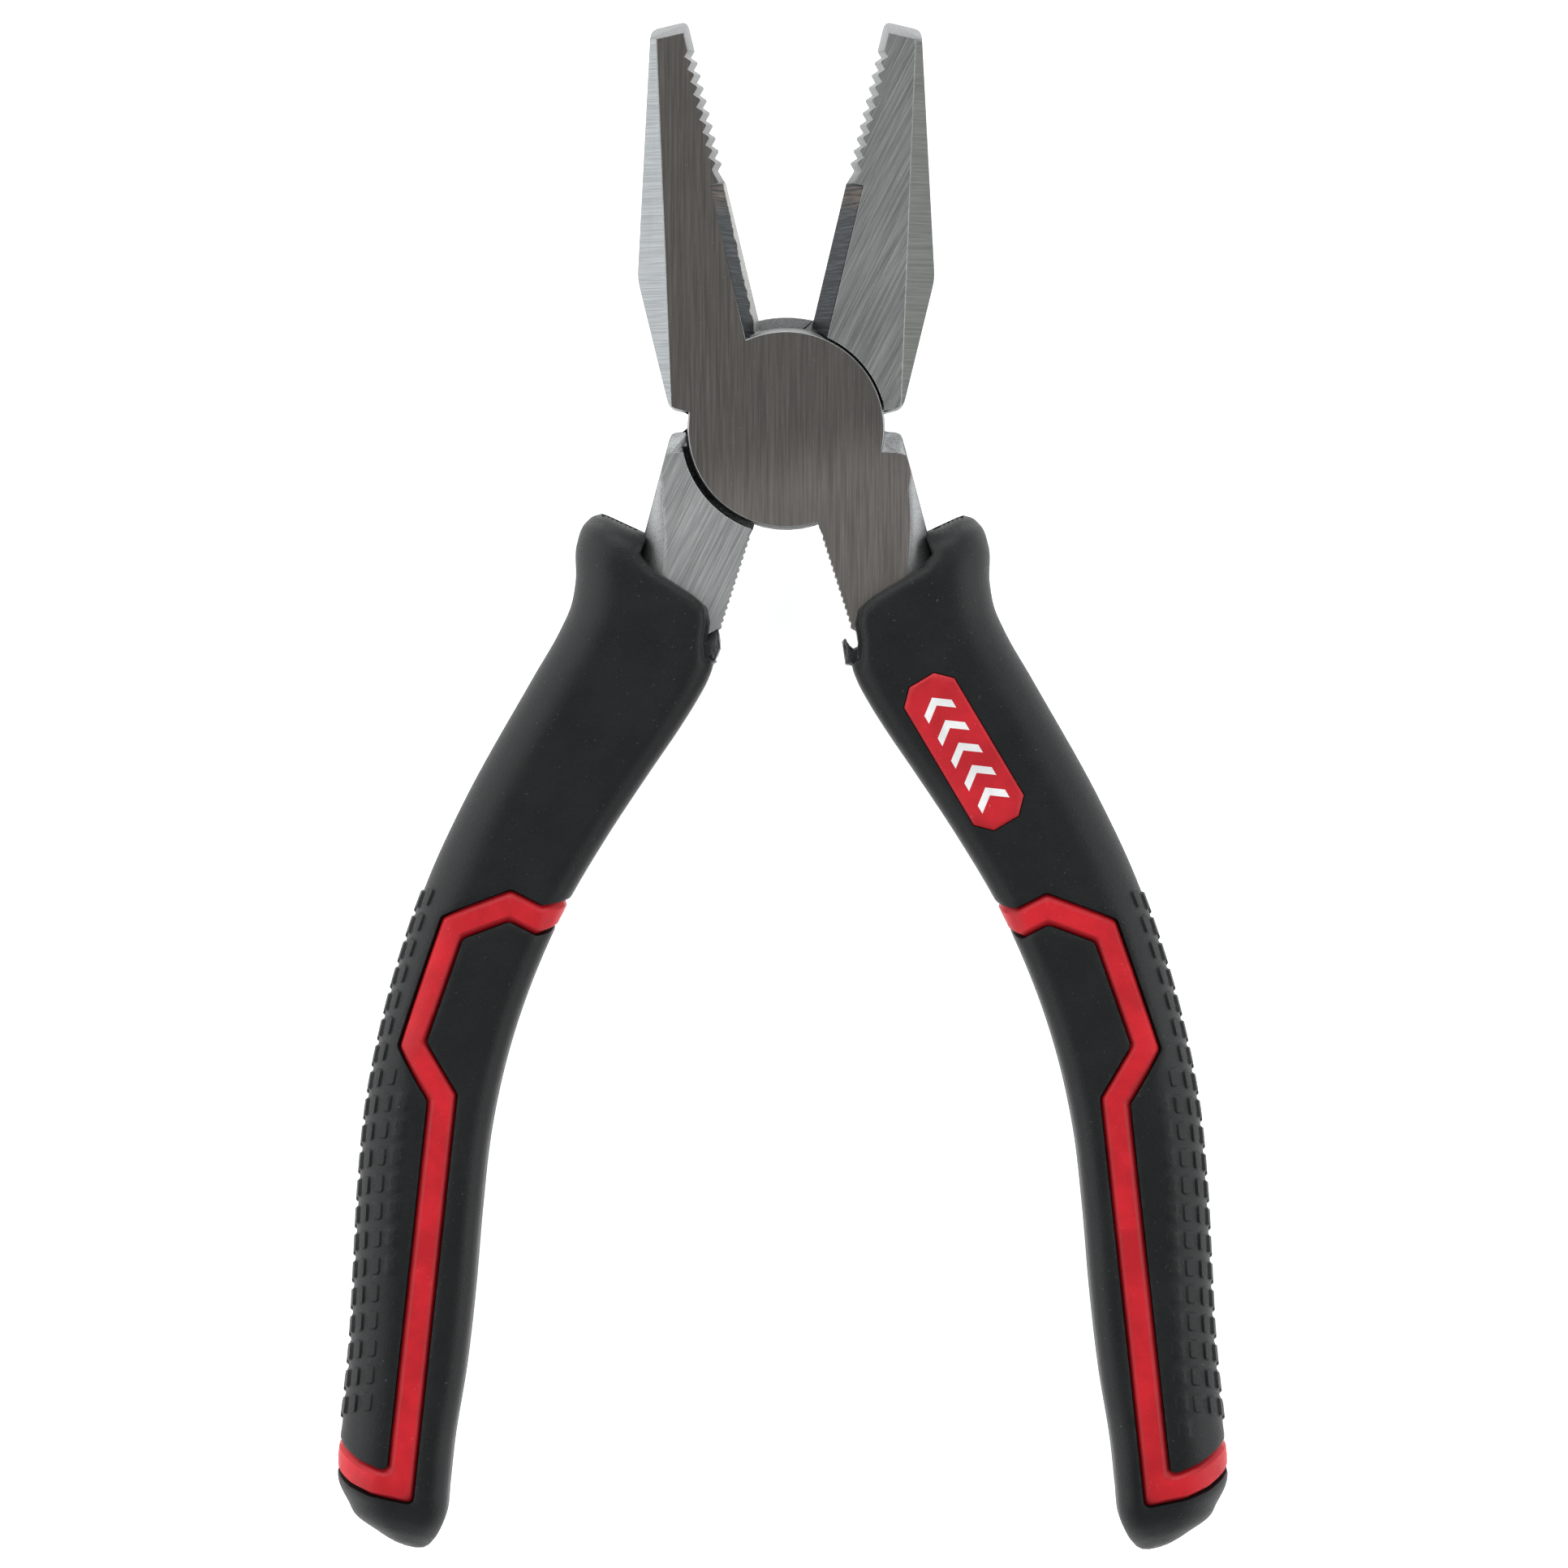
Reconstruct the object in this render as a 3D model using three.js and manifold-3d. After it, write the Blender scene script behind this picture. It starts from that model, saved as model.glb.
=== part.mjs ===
// Lineman pliers of the 200 mm class: two drop-forged halves lapped on one rivet, with soft grips.
// Units are millimetres. The origin is on the pivot axis at the back face of the head, +Y points
// to the jaw tips and +Z out of the front face. One half is drawn closed, with its jaw on the left
// and its handle on the right. The other half is the same forging turned over about the Y axis.
// Both are then swung apart about the pivot by openHalfAngle.
import * as THREE from 'three';
import { ParametricGeometry } from 'three/addons/geometries/ParametricGeometry.js';
import { mergeVertices } from 'three/addons/utils/BufferGeometryUtils.js';
import Module from 'manifold-3d';

// opening and joint
const openHalfAngle = 13.4;       // degrees from closed, each half
const headThickness = 11;
const jointRadius = 12.4;         // of the lap disc on the ground face
const jointDraft = 0.7;           // extra radius of the disc at the mid plane
const trimmedDraft = 0.15;        // what is left of it outside the gap between the jaws
const trimFrom = 98;              // degrees about the pivot, with the half closed
const trimTo = 358;
const layerGap = 0.3;             // between the two discs
const jawPocketGap = 0.25;        // round the disc, beside the jaw
const shankPocketGap = 0.95;      // round the disc, beside the handle
const webHeight = 2;              // of the back half's web, past the disc
const webEndAngle = 125;
const rivetRadius = 4.5;
const rivetGap = 0.3;
const rivetDepth = 9.2;           // the rivet stops short of the front face

// jaws
const jawLength = 53.5;           // pivot to tip, at the mid plane
const tipHalfWidth = 4.9;
const bendStep = 0.1;             // the jaw's widest point, past its heel
const bendHeight = 23;
const heelStep = 1.4;             // the jaw's heel stands this far outside the disc
const heelAngle = 24;
const jawGap = 0.12;              // from the centre line to the tooth crests when closed
const jawDraft = 0.85;            // of the toothed wall, from the mid plane to a face
const tipDraft = 1.6;             // of the tip end, from the mid plane to a face
const cutterClear = 0.2;          // from the disc to the cutter's lower end
const cutterLength = 19.7;
const cutterBevel = 2.2;          // width of the cutter's bevel on a face
const toothStart = 2.6;           // from the cutter's upper end to the first tooth
const toothCount = 9;
const toothPitch = 1.64;
const toothDepth = 0.65;
const bevelTipInset = 0.35;       // outer ground bevel, seen on a face
const bevelHeelInset = 0.3;
const bevelAngle = 40;

// handle
const shoulderAngle = -14.9;
const shankStep = 1.9;            // the shank's outer edge, past the disc
const shankInner = 1.2;           // inner edge below the disc
const shankEndInner = 2.2;        // inner edge where the sleeve begins
const serrationDepth = 0.2;
const serrationPitch = 0.83;
const shoulderDip = 0.5;          // the shoulder is left unground, below the face
const shoulderRough = 1.8;        // length of the unground shoulder
const tangHalfWidth = 4.2;
const tangEndHalfWidth = 3.4;
const tangHalfThickness = 4;

// grip
const gripClear = 3.3;            // from the disc to the crest of the guard
const gripLength = 133.3;
const gripPattern = 133.3;        // the outline tables below are drawn at this length
const gripScale = gripLength / gripPattern;
const tangLength = 112;           // of the steel inside the grip
const outerEdgeRadius = 6;
const innerEdgeRadius = 2.8;
const shellWall = 2;
const sleeveEnd = 128;            // how far the hard sleeve reaches down the grip
const sleeveWall = 1.9;           // over the flats of the tang
const mouthSleeveWall = 1.1;      // over the flats of the full shank
const lipInner = 1.5;             // inner side of the sleeve's lip
const fitGap = 0.3;
const bandWidth = 3.7;
const bandCorner = 2.4;
const gripOffset = 0.45;          // the left grip sits this far out, and the right grip in
const bandOffset = 0.95;          // the same for their bands

// badge
const badgeProud = 0.15;
const badgeDepth = 0.8;
const badgeLength = 21;
const badgeWidth = 7.4;
const badgeCorner = 1.9;
const badgeTilt = 17.3;           // degrees from the handle's Y axis
const badgeX = 12.85;
const badgeDrop = 29.2;           // from the guard's crest to its middle

const midPlane = headThickness / 2;
const heelHalfWidth = jointRadius + heelStep;
const bendHalfWidth = heelHalfWidth + bendStep;
const shankHalfWidth = jointRadius + shankStep;
const cutterStart = jointRadius + cutterClear;
const cutterEnd = cutterStart + cutterLength;
const firstTooth = cutterEnd + toothStart;
const gripTop = -jointRadius - gripClear;
const wasm = await Module();
wasm.setup();

// ---- helpers ---------------------------------------------------------------------------------

const at = (x, y) => new THREE.Vector2(x, y);
const radians = THREE.MathUtils.degToRad;
const polar = (radius, angle) => at(radius * Math.cos(radians(angle)), radius * Math.sin(radians(angle)));

// A closed solid from a geometry: seams are merged and slivers of no area dropped.
function solid(geometry) {
  const bare = new THREE.BufferGeometry();
  bare.setAttribute('position', geometry.getAttribute('position').clone());
  bare.setIndex(geometry.getIndex());
  const merged = mergeVertices(bare, 1e-4);
  const points = merged.getAttribute('position');
  const index = merged.getIndex().array;
  const a = new THREE.Vector3();
  const b = new THREE.Vector3();
  const c = new THREE.Vector3();
  const triangles = [];
  let volume = 0;
  for (let i = 0; i < index.length; i += 3) {
    const [p, q, r] = [index[i], index[i + 1], index[i + 2]];
    if (p === q || q === r || r === p) continue;
    triangles.push([p, q, r]);
    a.fromBufferAttribute(points, p);
    b.fromBufferAttribute(points, q);
    c.fromBufferAttribute(points, r);
    volume += a.dot(b.cross(c));
  }
  const outward = volume > 0 ? triangles : triangles.map(([p, q, r]) => [p, r, q]);
  return new wasm.Manifold(new wasm.Mesh({
    numProp: 3,
    vertProperties: Float32Array.from(points.array),
    triVerts: Uint32Array.from(outward.flat()),
  }));
}

// A triangle mesh from a solid.
function geometryOf(body) {
  const mesh = body.getMesh();
  const geometry = new THREE.BufferGeometry();
  geometry.setAttribute('position', new THREE.BufferAttribute(mesh.vertProperties, 3));
  geometry.setIndex(new THREE.BufferAttribute(mesh.triVerts, 1));
  geometry.computeVertexNormals();
  return geometry;
}

// A flat outline given thickness between two heights.
function slab(outline, low, high) {
  const geometry = new THREE.ExtrudeGeometry(new THREE.Shape(outline), {
    depth: high - low,
    bevelEnabled: false,
  });
  geometry.translate(0, 0, low);
  return geometry;
}

// The same geometry on the other side of the mid plane.
function mirrored(geometry) {
  const copy = geometry.clone();
  copy.scale(1, 1, -1);
  copy.translate(0, 0, headThickness);
  return copy;
}

const bothSides = (geometry) => solid(geometry).add(solid(mirrored(geometry)));

// An arc about the pivot.
function arc(radius, from, to, steps) {
  const points = [];
  for (let i = 0; i <= steps; i += 1) {
    points.push(polar(radius, from + (to - from) * i / steps));
  }
  return points;
}

// A smooth function through [position, value] pairs.
function profile(pairs) {
  const ordered = [...pairs].sort((first, second) => first[0] - second[0]);
  const spline = new THREE.CubicInterpolant(
    ordered.map((pair) => pair[0]),
    ordered.map((pair) => pair[1]),
    1,
  );
  return (position) => spline.evaluate(position)[0];
}

// A line through the corners with each corner rounded off.
function roundedLine(corners, radius, steps) {
  const points = [corners[0]];
  for (let i = 1; i < corners.length - 1; i += 1) {
    const corner = corners[i];
    const before = corners[i - 1].clone().sub(corner);
    const after = corners[i + 1].clone().sub(corner);
    const reach = Math.min(radius, before.length() / 2.1, after.length() / 2.1);
    const start = corner.clone().add(before.setLength(reach));
    const finish = corner.clone().add(after.setLength(reach));
    points.push(...new THREE.QuadraticBezierCurve(start, corner, finish).getPoints(steps));
  }
  points.push(corners[corners.length - 1]);
  return points;
}

// The same corners moved sideways, to the left of the line's direction.
function offsetLine(corners, distance) {
  const normalFrom = (i) => {
    const along = corners[i + 1].clone().sub(corners[i]).normalize();
    return at(-along.y, along.x);
  };
  return corners.map((corner, i) => {
    const before = normalFrom(Math.max(i - 1, 0));
    const after = normalFrom(Math.min(i, corners.length - 2));
    const mitre = before.clone().add(after).multiplyScalar(distance / (1 + before.dot(after)));
    return corner.clone().add(mitre);
  });
}

// A skin over sections that follow one another along Y, closed at both ends.
function loft(stations, sectionAt) {
  const sections = stations.map(sectionAt);
  const middles = sections.map((section) => {
    const sum = section.reduce((total, point) => total.add(point), new THREE.Vector3());
    return sum.divideScalar(section.length);
  });
  const sides = sections[0].length;
  const last = sections.length - 1;
  const place = (u, v, target) => {
    const row = Math.round(v * (last + 2)) - 1;
    if (row < 0 || row > last) {
      target.copy(middles[row < 0 ? 0 : last]);
    } else {
      target.copy(sections[row][Math.round(u * sides) % sides]);
    }
  };
  return new ParametricGeometry(place, sides, last + 2);
}

// A rounded rectangle across the handle, with its own radius at the outer and inner corners.
function roundedSection(y, inner, outer, half, outerRadius, innerRadius, cornerPoints) {
  const roomy = (radius) => Math.max(0.3, Math.min(radius, half - 0.4, (outer - inner) / 2 - 0.4));
  const corners = [
    { radius: roomy(outerRadius), x: outer, side: 1, up: 1, from: 0 },
    { radius: roomy(innerRadius), x: inner, side: -1, up: 1, from: 90 },
    { radius: roomy(innerRadius), x: inner, side: -1, up: -1, from: 180 },
    { radius: roomy(outerRadius), x: outer, side: 1, up: -1, from: 270 },
  ];
  return corners.flatMap(({ radius, x, side, up, from }) => {
    const points = [];
    for (let i = 0; i < cornerPoints; i += 1) {
      const turn = polar(radius, from + 90 * i / (cornerPoints - 1));
      const centreX = x - side * radius;
      const centreZ = midPlane + up * (half - radius);
      points.push(new THREE.Vector3(centreX + turn.x, y, centreZ + turn.y));
    }
    return points;
  });
}

// ---- grip outline ----------------------------------------------------------------------------

// Outline tables of the grip: distance below the guard's crest, then the value.
const below = (distance) => gripTop - distance * gripScale;
const table = (rows) => profile(rows.map(([distance, value]) => [below(distance), value]));

const gripOuter = table([
  [0, 19.9], [0.5, 20.8], [1.4, 21.5], [4.4, 22.05], [9.2, 21.1], [12.4, 20.95], [15.4, 21.5],
  [22.4, 23.55], [39.4, 28.35], [49.4, 30.4], [59.4, 31.5], [69.4, 31.85], [79.4, 31.45],
  [89.4, 30.1], [99.4, 28.3], [109.4, 26.5], [119.4, 25.2], [124.4, 24.6], [127.4, 23.75],
  [129.4, 22.1], [131.2, 20.2], [132.1, 17.8], [132.7, 16.2], [133.3, 14.2],
]);
const gripInner = table([
  [0, 2.4], [10.4, 2.2], [14.6, 1.6], [17.4, 1.9], [20.4, 2.7], [23.4, 3.7], [30.4, 6.35], [39.4, 9.65],
  [49.4, 12.75], [59.4, 14.7], [69.4, 15.6], [79.4, 15.4], [89.4, 14.2], [99.4, 12.7],
  [109.4, 11.5], [119.4, 10.75], [124.4, 10.1], [128.2, 9.65], [130, 9.9], [131.7, 10.5],
  [132.7, 11.2], [133.3, 12.2],
]);
const overSteel = table([
  [0, -4.3], [0.45, -1.7], [1, 0], [1.8, 1.1], [3, 1.9], [4.5, 2.3], [9, 2.5], [16, 2.5],
  [30, 2.6], [50, 3], [75, 3.1], [95, 2.9], [115, 2.6], [124.3, 2.2], [128, 1.6], [130.4, 0.5],
  [132, -1.1], [132.8, -2.6], [133.3, -4.6],
]);
const gripHalf = (y) => midPlane + overSteel(y);

// Full thickness of the shank at the mouth of the grip, thinner inside it.
const steelHalf = (y) => THREE.MathUtils.mapLinear(
  THREE.MathUtils.clamp(y, below(20), below(12)), below(20), below(12), tangHalfThickness, midPlane,
);
const sleeveHalf = (y) => steelHalf(y) + THREE.MathUtils.mapLinear(
  THREE.MathUtils.clamp(y, below(20), below(12)), below(20), below(12), sleeveWall, mouthSleeveWall,
);
const gripCentre = (y) => (gripOuter(y) + gripInner(y)) / 2;

// ---- forged halves ---------------------------------------------------------------------------

// A frustum for the lap disc, or for the pocket that it turns in.
function jointDisc(faceRadius, low, high) {
  const rootRadius = faceRadius + jointDraft * (high - low) / (midPlane - layerGap / 2);
  const outline = [at(0, low), at(rootRadius, low), at(faceRadius, high), at(0, high)];
  const geometry = new THREE.LatheGeometry(outline, 96);
  geometry.rotateX(Math.PI / 2);
  return geometry;
}

// Pocket in the back layer for the other half's disc.
function backPocket(faceRadius) {
  const front = jointDisc(faceRadius - 0.1, midPlane - layerGap / 2, headThickness + 1);
  return solid(mirrored(front));
}

// A wider stretch of the pocket between two angles about the pivot.
function pocketSector(radius, from, to) {
  const outline = [at(0, 0), ...arc(radius, from, to, 16)];
  return solid(slab(outline, -1, midPlane + layerGap / 2));
}

function jawBody() {
  const heel = polar(1, heelAngle);
  const heelOut = heel.clone().multiplyScalar(heelHalfWidth / heel.x);
  const heelIn = heel.clone().multiplyScalar(jointRadius - 1.5);
  const outline = roundedLine([
    at(-jawGap, cutterStart),
    at(-jawGap, jawLength),
    at(-tipHalfWidth, jawLength),
    at(-bendHalfWidth, bendHeight),
    at(-heelOut.x, heelOut.y),
    at(-heelIn.x, heelIn.y),
  ], 1.1, 4);
  return solid(slab(outline, 0, headThickness));
}

// Moves a slab that starts at the mid plane sideways as it rises, then sets it in place.
function drafted(geometry, acrossDraft, alongDraft) {
  geometry.applyMatrix4(new THREE.Matrix4().makeShear(
    0, 0, 0, 0, -acrossDraft / midPlane, -alongDraft / midPlane,
  ));
  geometry.translate(0, 0, midPlane);
  return geometry;
}

// What is cut from the toothed wall: the grooves and the wall's draft.
function toothedWallCut() {
  const crest = -jawGap;
  const outline = [at(5, cutterEnd - 0.2), at(crest, cutterEnd - 0.2)];
  for (let tooth = 0; tooth < toothCount; tooth += 1) {
    const y = firstTooth + tooth * toothPitch;
    outline.push(at(crest - toothDepth, y - toothPitch / 2));
    outline.push(at(crest, y - toothPitch * 0.08));
    outline.push(at(crest, y + toothPitch * 0.08));
  }
  const last = firstTooth + (toothCount - 0.5) * toothPitch;
  outline.push(at(crest - toothDepth, last));
  outline.push(at(crest, last + toothPitch * 0.4));
  outline.push(at(crest, jawLength + 5));
  outline.push(at(5, jawLength + 5));
  return bothSides(drafted(slab(outline, 0, midPlane + 1), jawDraft, 0));
}

function cutterCut() {
  const outline = [
    at(5, cutterStart - 2),
    at(-jawGap, cutterStart - 2),
    at(-jawGap, cutterEnd),
    at(5, cutterEnd),
  ];
  return bothSides(drafted(slab(outline, 0, midPlane + 1), cutterBevel, 0));
}

function tipCut() {
  const outline = [at(-20, jawLength), at(5, jawLength), at(5, jawLength + 6), at(-20, jawLength + 6)];
  return bothSides(drafted(slab(outline, 0, midPlane + 1), 0, tipDraft));
}

// The ground bevel along the outside of the jaw, one flat plane on each face.
function bevelCut() {
  const heelY = heelHalfWidth * Math.tan(radians(heelAngle));
  const heel = at(-(heelHalfWidth - bevelHeelInset), heelY);
  const tip = at(-(tipHalfWidth - bevelTipInset), jawLength - tipDraft);
  const along = tip.clone().sub(heel).normalize();
  const fall = headThickness * Math.tan(radians(bevelAngle));
  const wedge = [at(0, 0), at(headThickness, -fall), at(headThickness, 1), at(0, 1)];
  const geometry = slab(wedge, 0, jawLength);
  const outward = new THREE.Vector3(-along.y, along.x, 0);
  const up = new THREE.Vector3(0, 0, 1);
  const forward = new THREE.Vector3(along.x, along.y, 0);
  const start = heel.clone().sub(along);
  const place = new THREE.Matrix4().makeBasis(outward, up, forward);
  place.setPosition(start.x, start.y, headThickness);
  geometry.applyMatrix4(place);
  return bothSides(geometry);
}

// Seen from the front, with a gap added all round for the sleeve that it sits in.
function handleOutline(gap) {
  const shoulder = polar(1, shoulderAngle);
  const shoulderOut = shoulder.clone().multiplyScalar(shankHalfWidth / shoulder.x);
  const points = [
    shoulder.clone().multiplyScalar(jointRadius - 1.5),
    at(shoulderOut.x - 0.9, shoulderOut.y + 0.24),
    at(shoulderOut.x - 0.35, shoulderOut.y - 0.1),
    at(shoulderOut.x - 0.2, shoulderOut.y - 0.8),
    at(shankHalfWidth + 0.1 + gap, below(1)),
    at(shankHalfWidth + 0.2 + gap, below(12)),
  ];
  const tangEdge = (stop, side) => {
    const y = below(stop) - (stop === tangLength ? gap : 0);
    const half = THREE.MathUtils.lerp(tangHalfWidth, tangEndHalfWidth, stop / tangLength);
    return at(gripCentre(y) + side * (half + gap), y);
  };
  const stops = [24, 32, 42, 52, 62, 72, 82, 92, 102, tangLength];
  points.push(...stops.map((stop) => tangEdge(stop, 1)));
  points.push(...stops.map((stop) => tangEdge(stop, -1)).reverse());
  points.push(at(shankEndInner + 1.6 - gap, below(12)));
  points.push(at(shankEndInner - gap / 2, below(10.6)));
  return points;
}

function handleBody() {
  const outline = handleOutline(0);
  const top = -jointRadius - 0.6;
  const bottom = below(10.4);
  const count = Math.floor((top - bottom) / serrationPitch);
  for (let i = 0; i < count; i += 1) {
    const y = bottom + i * serrationPitch;
    const x = THREE.MathUtils.mapLinear(y, bottom, top, shankEndInner, shankInner);
    outline.push(at(x, y));
    outline.push(at(x + serrationDepth, y + serrationPitch / 2));
  }
  outline.push(at(shankInner, top));
  outline.push(at(shankInner, -jointRadius + 2));
  return solid(slab(outline, 0, headThickness)).intersect(sideProfile(0));
}

// The handle seen from the side, as a block across its width.
function sideProfile(gap) {
  const stops = [jawLength, below(12), below(20), below(tangLength + 3)];
  const front = stops.map((y) => at(y, midPlane + steelHalf(y) + gap));
  const back = stops.map((y) => at(y, midPlane - steelHalf(y) - gap)).reverse();
  const geometry = slab([...front, ...back], -5, 60);
  geometry.applyMatrix4(new THREE.Matrix4().makeBasis(
    new THREE.Vector3(0, 1, 0), new THREE.Vector3(0, 0, 1), new THREE.Vector3(1, 0, 0),
  ));
  return solid(geometry);
}

const roughEnd = shankHalfWidth * Math.tan(radians(shoulderAngle)) - shoulderRough;

// The shoulder tip stays as forged, a little below each ground face.
function shoulderCut() {
  const outline = [
    at(jointRadius - 2, 2), at(shankHalfWidth + 5, 2), at(shankHalfWidth + 5, roughEnd - 1.9),
    at(shankHalfWidth - 0.5, roughEnd - 1.1), at(shankHalfWidth - 1.3, roughEnd - 0.4),
    at(jointRadius - 2, roughEnd),
  ];
  return bothSides(slab(outline, headThickness - shoulderDip, headThickness + 1));
}

// The rounded facet along the outside of the shank, from the ground face down to the edge.
function shankFacetCut() {
  const length = roughEnd - below(12);
  const from = (share) => roughEnd - share * length;
  const faceEdge = profile([
    [from(0.07), shankHalfWidth + 0.2], [from(0.13), shankHalfWidth - 0.2],
    [from(0.26), shankHalfWidth - 1.3], [from(0.43), shankHalfWidth - 2.4],
    [from(0.65), shankHalfWidth - 3.8], [from(1), shankHalfWidth - 4.9],
  ]);
  const stations = [0.07, 0.13, 0.2, 0.27, 0.34, 0.43, 0.52, 0.65, 0.83, 1].map(from);
  const geometry = loft(stations, (y) => {
    const start = faceEdge(y);
    const width = shankHalfWidth + 1 - start;
    const bend = [[0, 0], [0.35, 0.1], [0.7, 0.36], [1, 0.8]];
    const section = bend.map(([across, down]) => new THREE.Vector3(
      start + across * width, y, headThickness - down * width,
    ));
    section.push(new THREE.Vector3(start + width, y, headThickness + 1));
    section.push(new THREE.Vector3(start, y, headThickness + 1));
    return section;
  });
  return bothSides(geometry);
}

function forgedHalf(hasWeb) {
  const pocket = backPocket(jointRadius + jawPocketGap);
  let jaw = jawBody()
    .subtract(toothedWallCut())
    .subtract(cutterCut())
    .subtract(tipCut())
    .subtract(bevelCut())
    .subtract(pocket);
  if (!hasWeb) {
    const clear = jointRadius + webHeight + fitGap;
    jaw = jaw.subtract(pocketSector(clear, webEndAngle + 2, 60));
  }
  const handle = handleBody()
    .subtract(shoulderCut())
    .subtract(shankFacetCut())
    .subtract(pocket)
    .subtract(pocketSector(jointRadius + shankPocketGap, -96, shoulderAngle - 8));
  // The draft shows only where the other half's jaw opens away from the disc.
  const trimmed = solid(slab([at(0, 0), ...arc(jointRadius + 3, trimFrom, trimTo, 40)], 0, headThickness))
    .subtract(cylinder(jointRadius + trimmedDraft, 0, headThickness));
  const disc = solid(jointDisc(jointRadius, midPlane + layerGap / 2, headThickness)).subtract(trimmed);
  let half = jaw.add(disc).add(handle);
  if (hasWeb) {
    const web = [at(0, 0), ...arc(jointRadius + webHeight, 180 - webEndAngle, 100, 12)];
    half = half.add(solid(slab(web, midPlane + layerGap / 2, headThickness - 1)));
  }
  return half;
}

// ---- grips -----------------------------------------------------------------------------------

// Distances below the crest, close together where the grip's ends turn.
function gripStations(count) {
  const stations = [];
  for (let i = 0; i <= count; i += 1) {
    stations.push(below(gripPattern * (1 - Math.cos(Math.PI * i / count)) / 2));
  }
  return stations;
}

function gripBody(inset, shift) {
  const geometry = loft(gripStations(38), (y) => roundedSection(
    y,
    gripInner(y) + inset + shift,
    gripOuter(y) - inset + shift,
    gripHalf(y) - inset,
    outerEdgeRadius - inset,
    innerEdgeRadius - inset,
    6,
  ));
  return solid(geometry);
}

// The sleeve's inner side: a lip against the shank, then a wall's depth inside the shell.
function sleeveInner(y) {
  const wallStart = below(17.2);
  const lipEnd = below(14.6);
  const inShell = gripInner(Math.min(y, wallStart)) + shellWall;
  return THREE.MathUtils.mapLinear(
    THREE.MathUtils.clamp(y, wallStart, lipEnd), wallStart, lipEnd, inShell, lipInner,
  );
}

function sleeveBody(gap) {
  const distances = [4.5, 8, 12, 14.6, 17.2, 24, 31, 40, 49, 58, 67, 76, 85, 94, 103, 112, 120, sleeveEnd];
  const geometry = loft(distances.map(below), (y) => {
    const reach = y === below(sleeveEnd) ? -gap : 0;
    return roundedSection(
      y + reach,
      sleeveInner(y) - gap,
      gripOuter(y) - shellWall + gap,
      sleeveHalf(y) + gap,
      outerEdgeRadius - shellWall + gap,
      innerEdgeRadius - shellWall + gap,
      4,
    );
  });
  return solid(geometry);
}

// The open end of the grip, cut on a slant round the shank.
function mouthCut(drop, shift) {
  const outline = [
    at(14.4, 10), at(14.4, below(0) - drop), at(14.8, below(3) - drop), at(11.4, below(5.3) - drop),
    at(6.3, below(7.3) - drop), at(4, below(8.6) - drop), at(3.2, below(10) - drop),
    at(3.1, below(12.6)), at(2.4, below(14.8)), at(-5, below(15.2)), at(-5, 10),
  ];
  const geometry = slab(outline, -20, 30);
  geometry.translate(shift, 0, 0);
  return solid(geometry);
}

const bandLine = [
  at(3.2, below(34.1)), at(15, below(52.3)), at(19.1, below(50.8)), at(25.6, below(55.2)),
  at(27.3, below(71)), at(21.6, below(76.7)), at(15.6, below(125.9)), at(18.8, below(126.6)),
  at(22.1, below(126)), at(34.6, below(113)),
];

// Everything on one side of the band, seen from the front: 1 is the guard's side, -1 the butt's.
function bandSide(side, gap, shift) {
  const edge = roundedLine(offsetLine(bandLine, side * (bandWidth / 2 + gap)), bandCorner, 4);
  const far = side > 0
    ? [at(60, below(108)), at(60, 10), at(-30, 10), at(-30, below(30))]
    : [at(60, below(118)), at(60, below(160)), at(-30, below(160)), at(-30, below(38))];
  const geometry = slab([...edge, ...far], -20, 30);
  geometry.translate(shift, 0, 0);
  return solid(geometry);
}

function badgePrism(gap, shift) {
  const halfWidth = badgeWidth / 2 + gap;
  const halfLength = badgeLength / 2 + gap;
  const outline = [];
  for (const [sideX, sideY] of [[1, 1], [-1, 1], [-1, -1], [1, -1]]) {
    const upright = at(sideX * halfWidth, sideY * (halfLength - badgeCorner));
    const level = at(sideX * (halfWidth - badgeCorner), sideY * halfLength);
    outline.push(...(sideX * sideY > 0 ? [upright, level] : [level, upright]));
  }
  const geometry = slab(outline, midPlane, 30);
  geometry.rotateZ(radians(badgeTilt));
  geometry.translate(badgeX + shift, below(badgeDrop), 0);
  return solid(geometry);
}

const rubberBlack = () => new THREE.MeshStandardMaterial({ color: 0x282a2a, roughness: 0.62, metalness: 0 });
const rubberRed = () => new THREE.MeshStandardMaterial({ color: 0xc8283a, roughness: 0.5, metalness: 0 });
const sleeveBlack = () => new THREE.MeshStandardMaterial({ color: 0x151617, roughness: 0.5, metalness: 0 });
const groundSteel = () => new THREE.MeshStandardMaterial({ color: 0x8a8a86, roughness: 0.38, metalness: 1 });
const rivetSteel = () => new THREE.MeshStandardMaterial({ color: 0x77777a, roughness: 0.42, metalness: 1 });

function named(name, body, material) {
  const mesh = new THREE.Mesh(geometryOf(body), material);
  mesh.name = name;
  return mesh;
}

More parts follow.
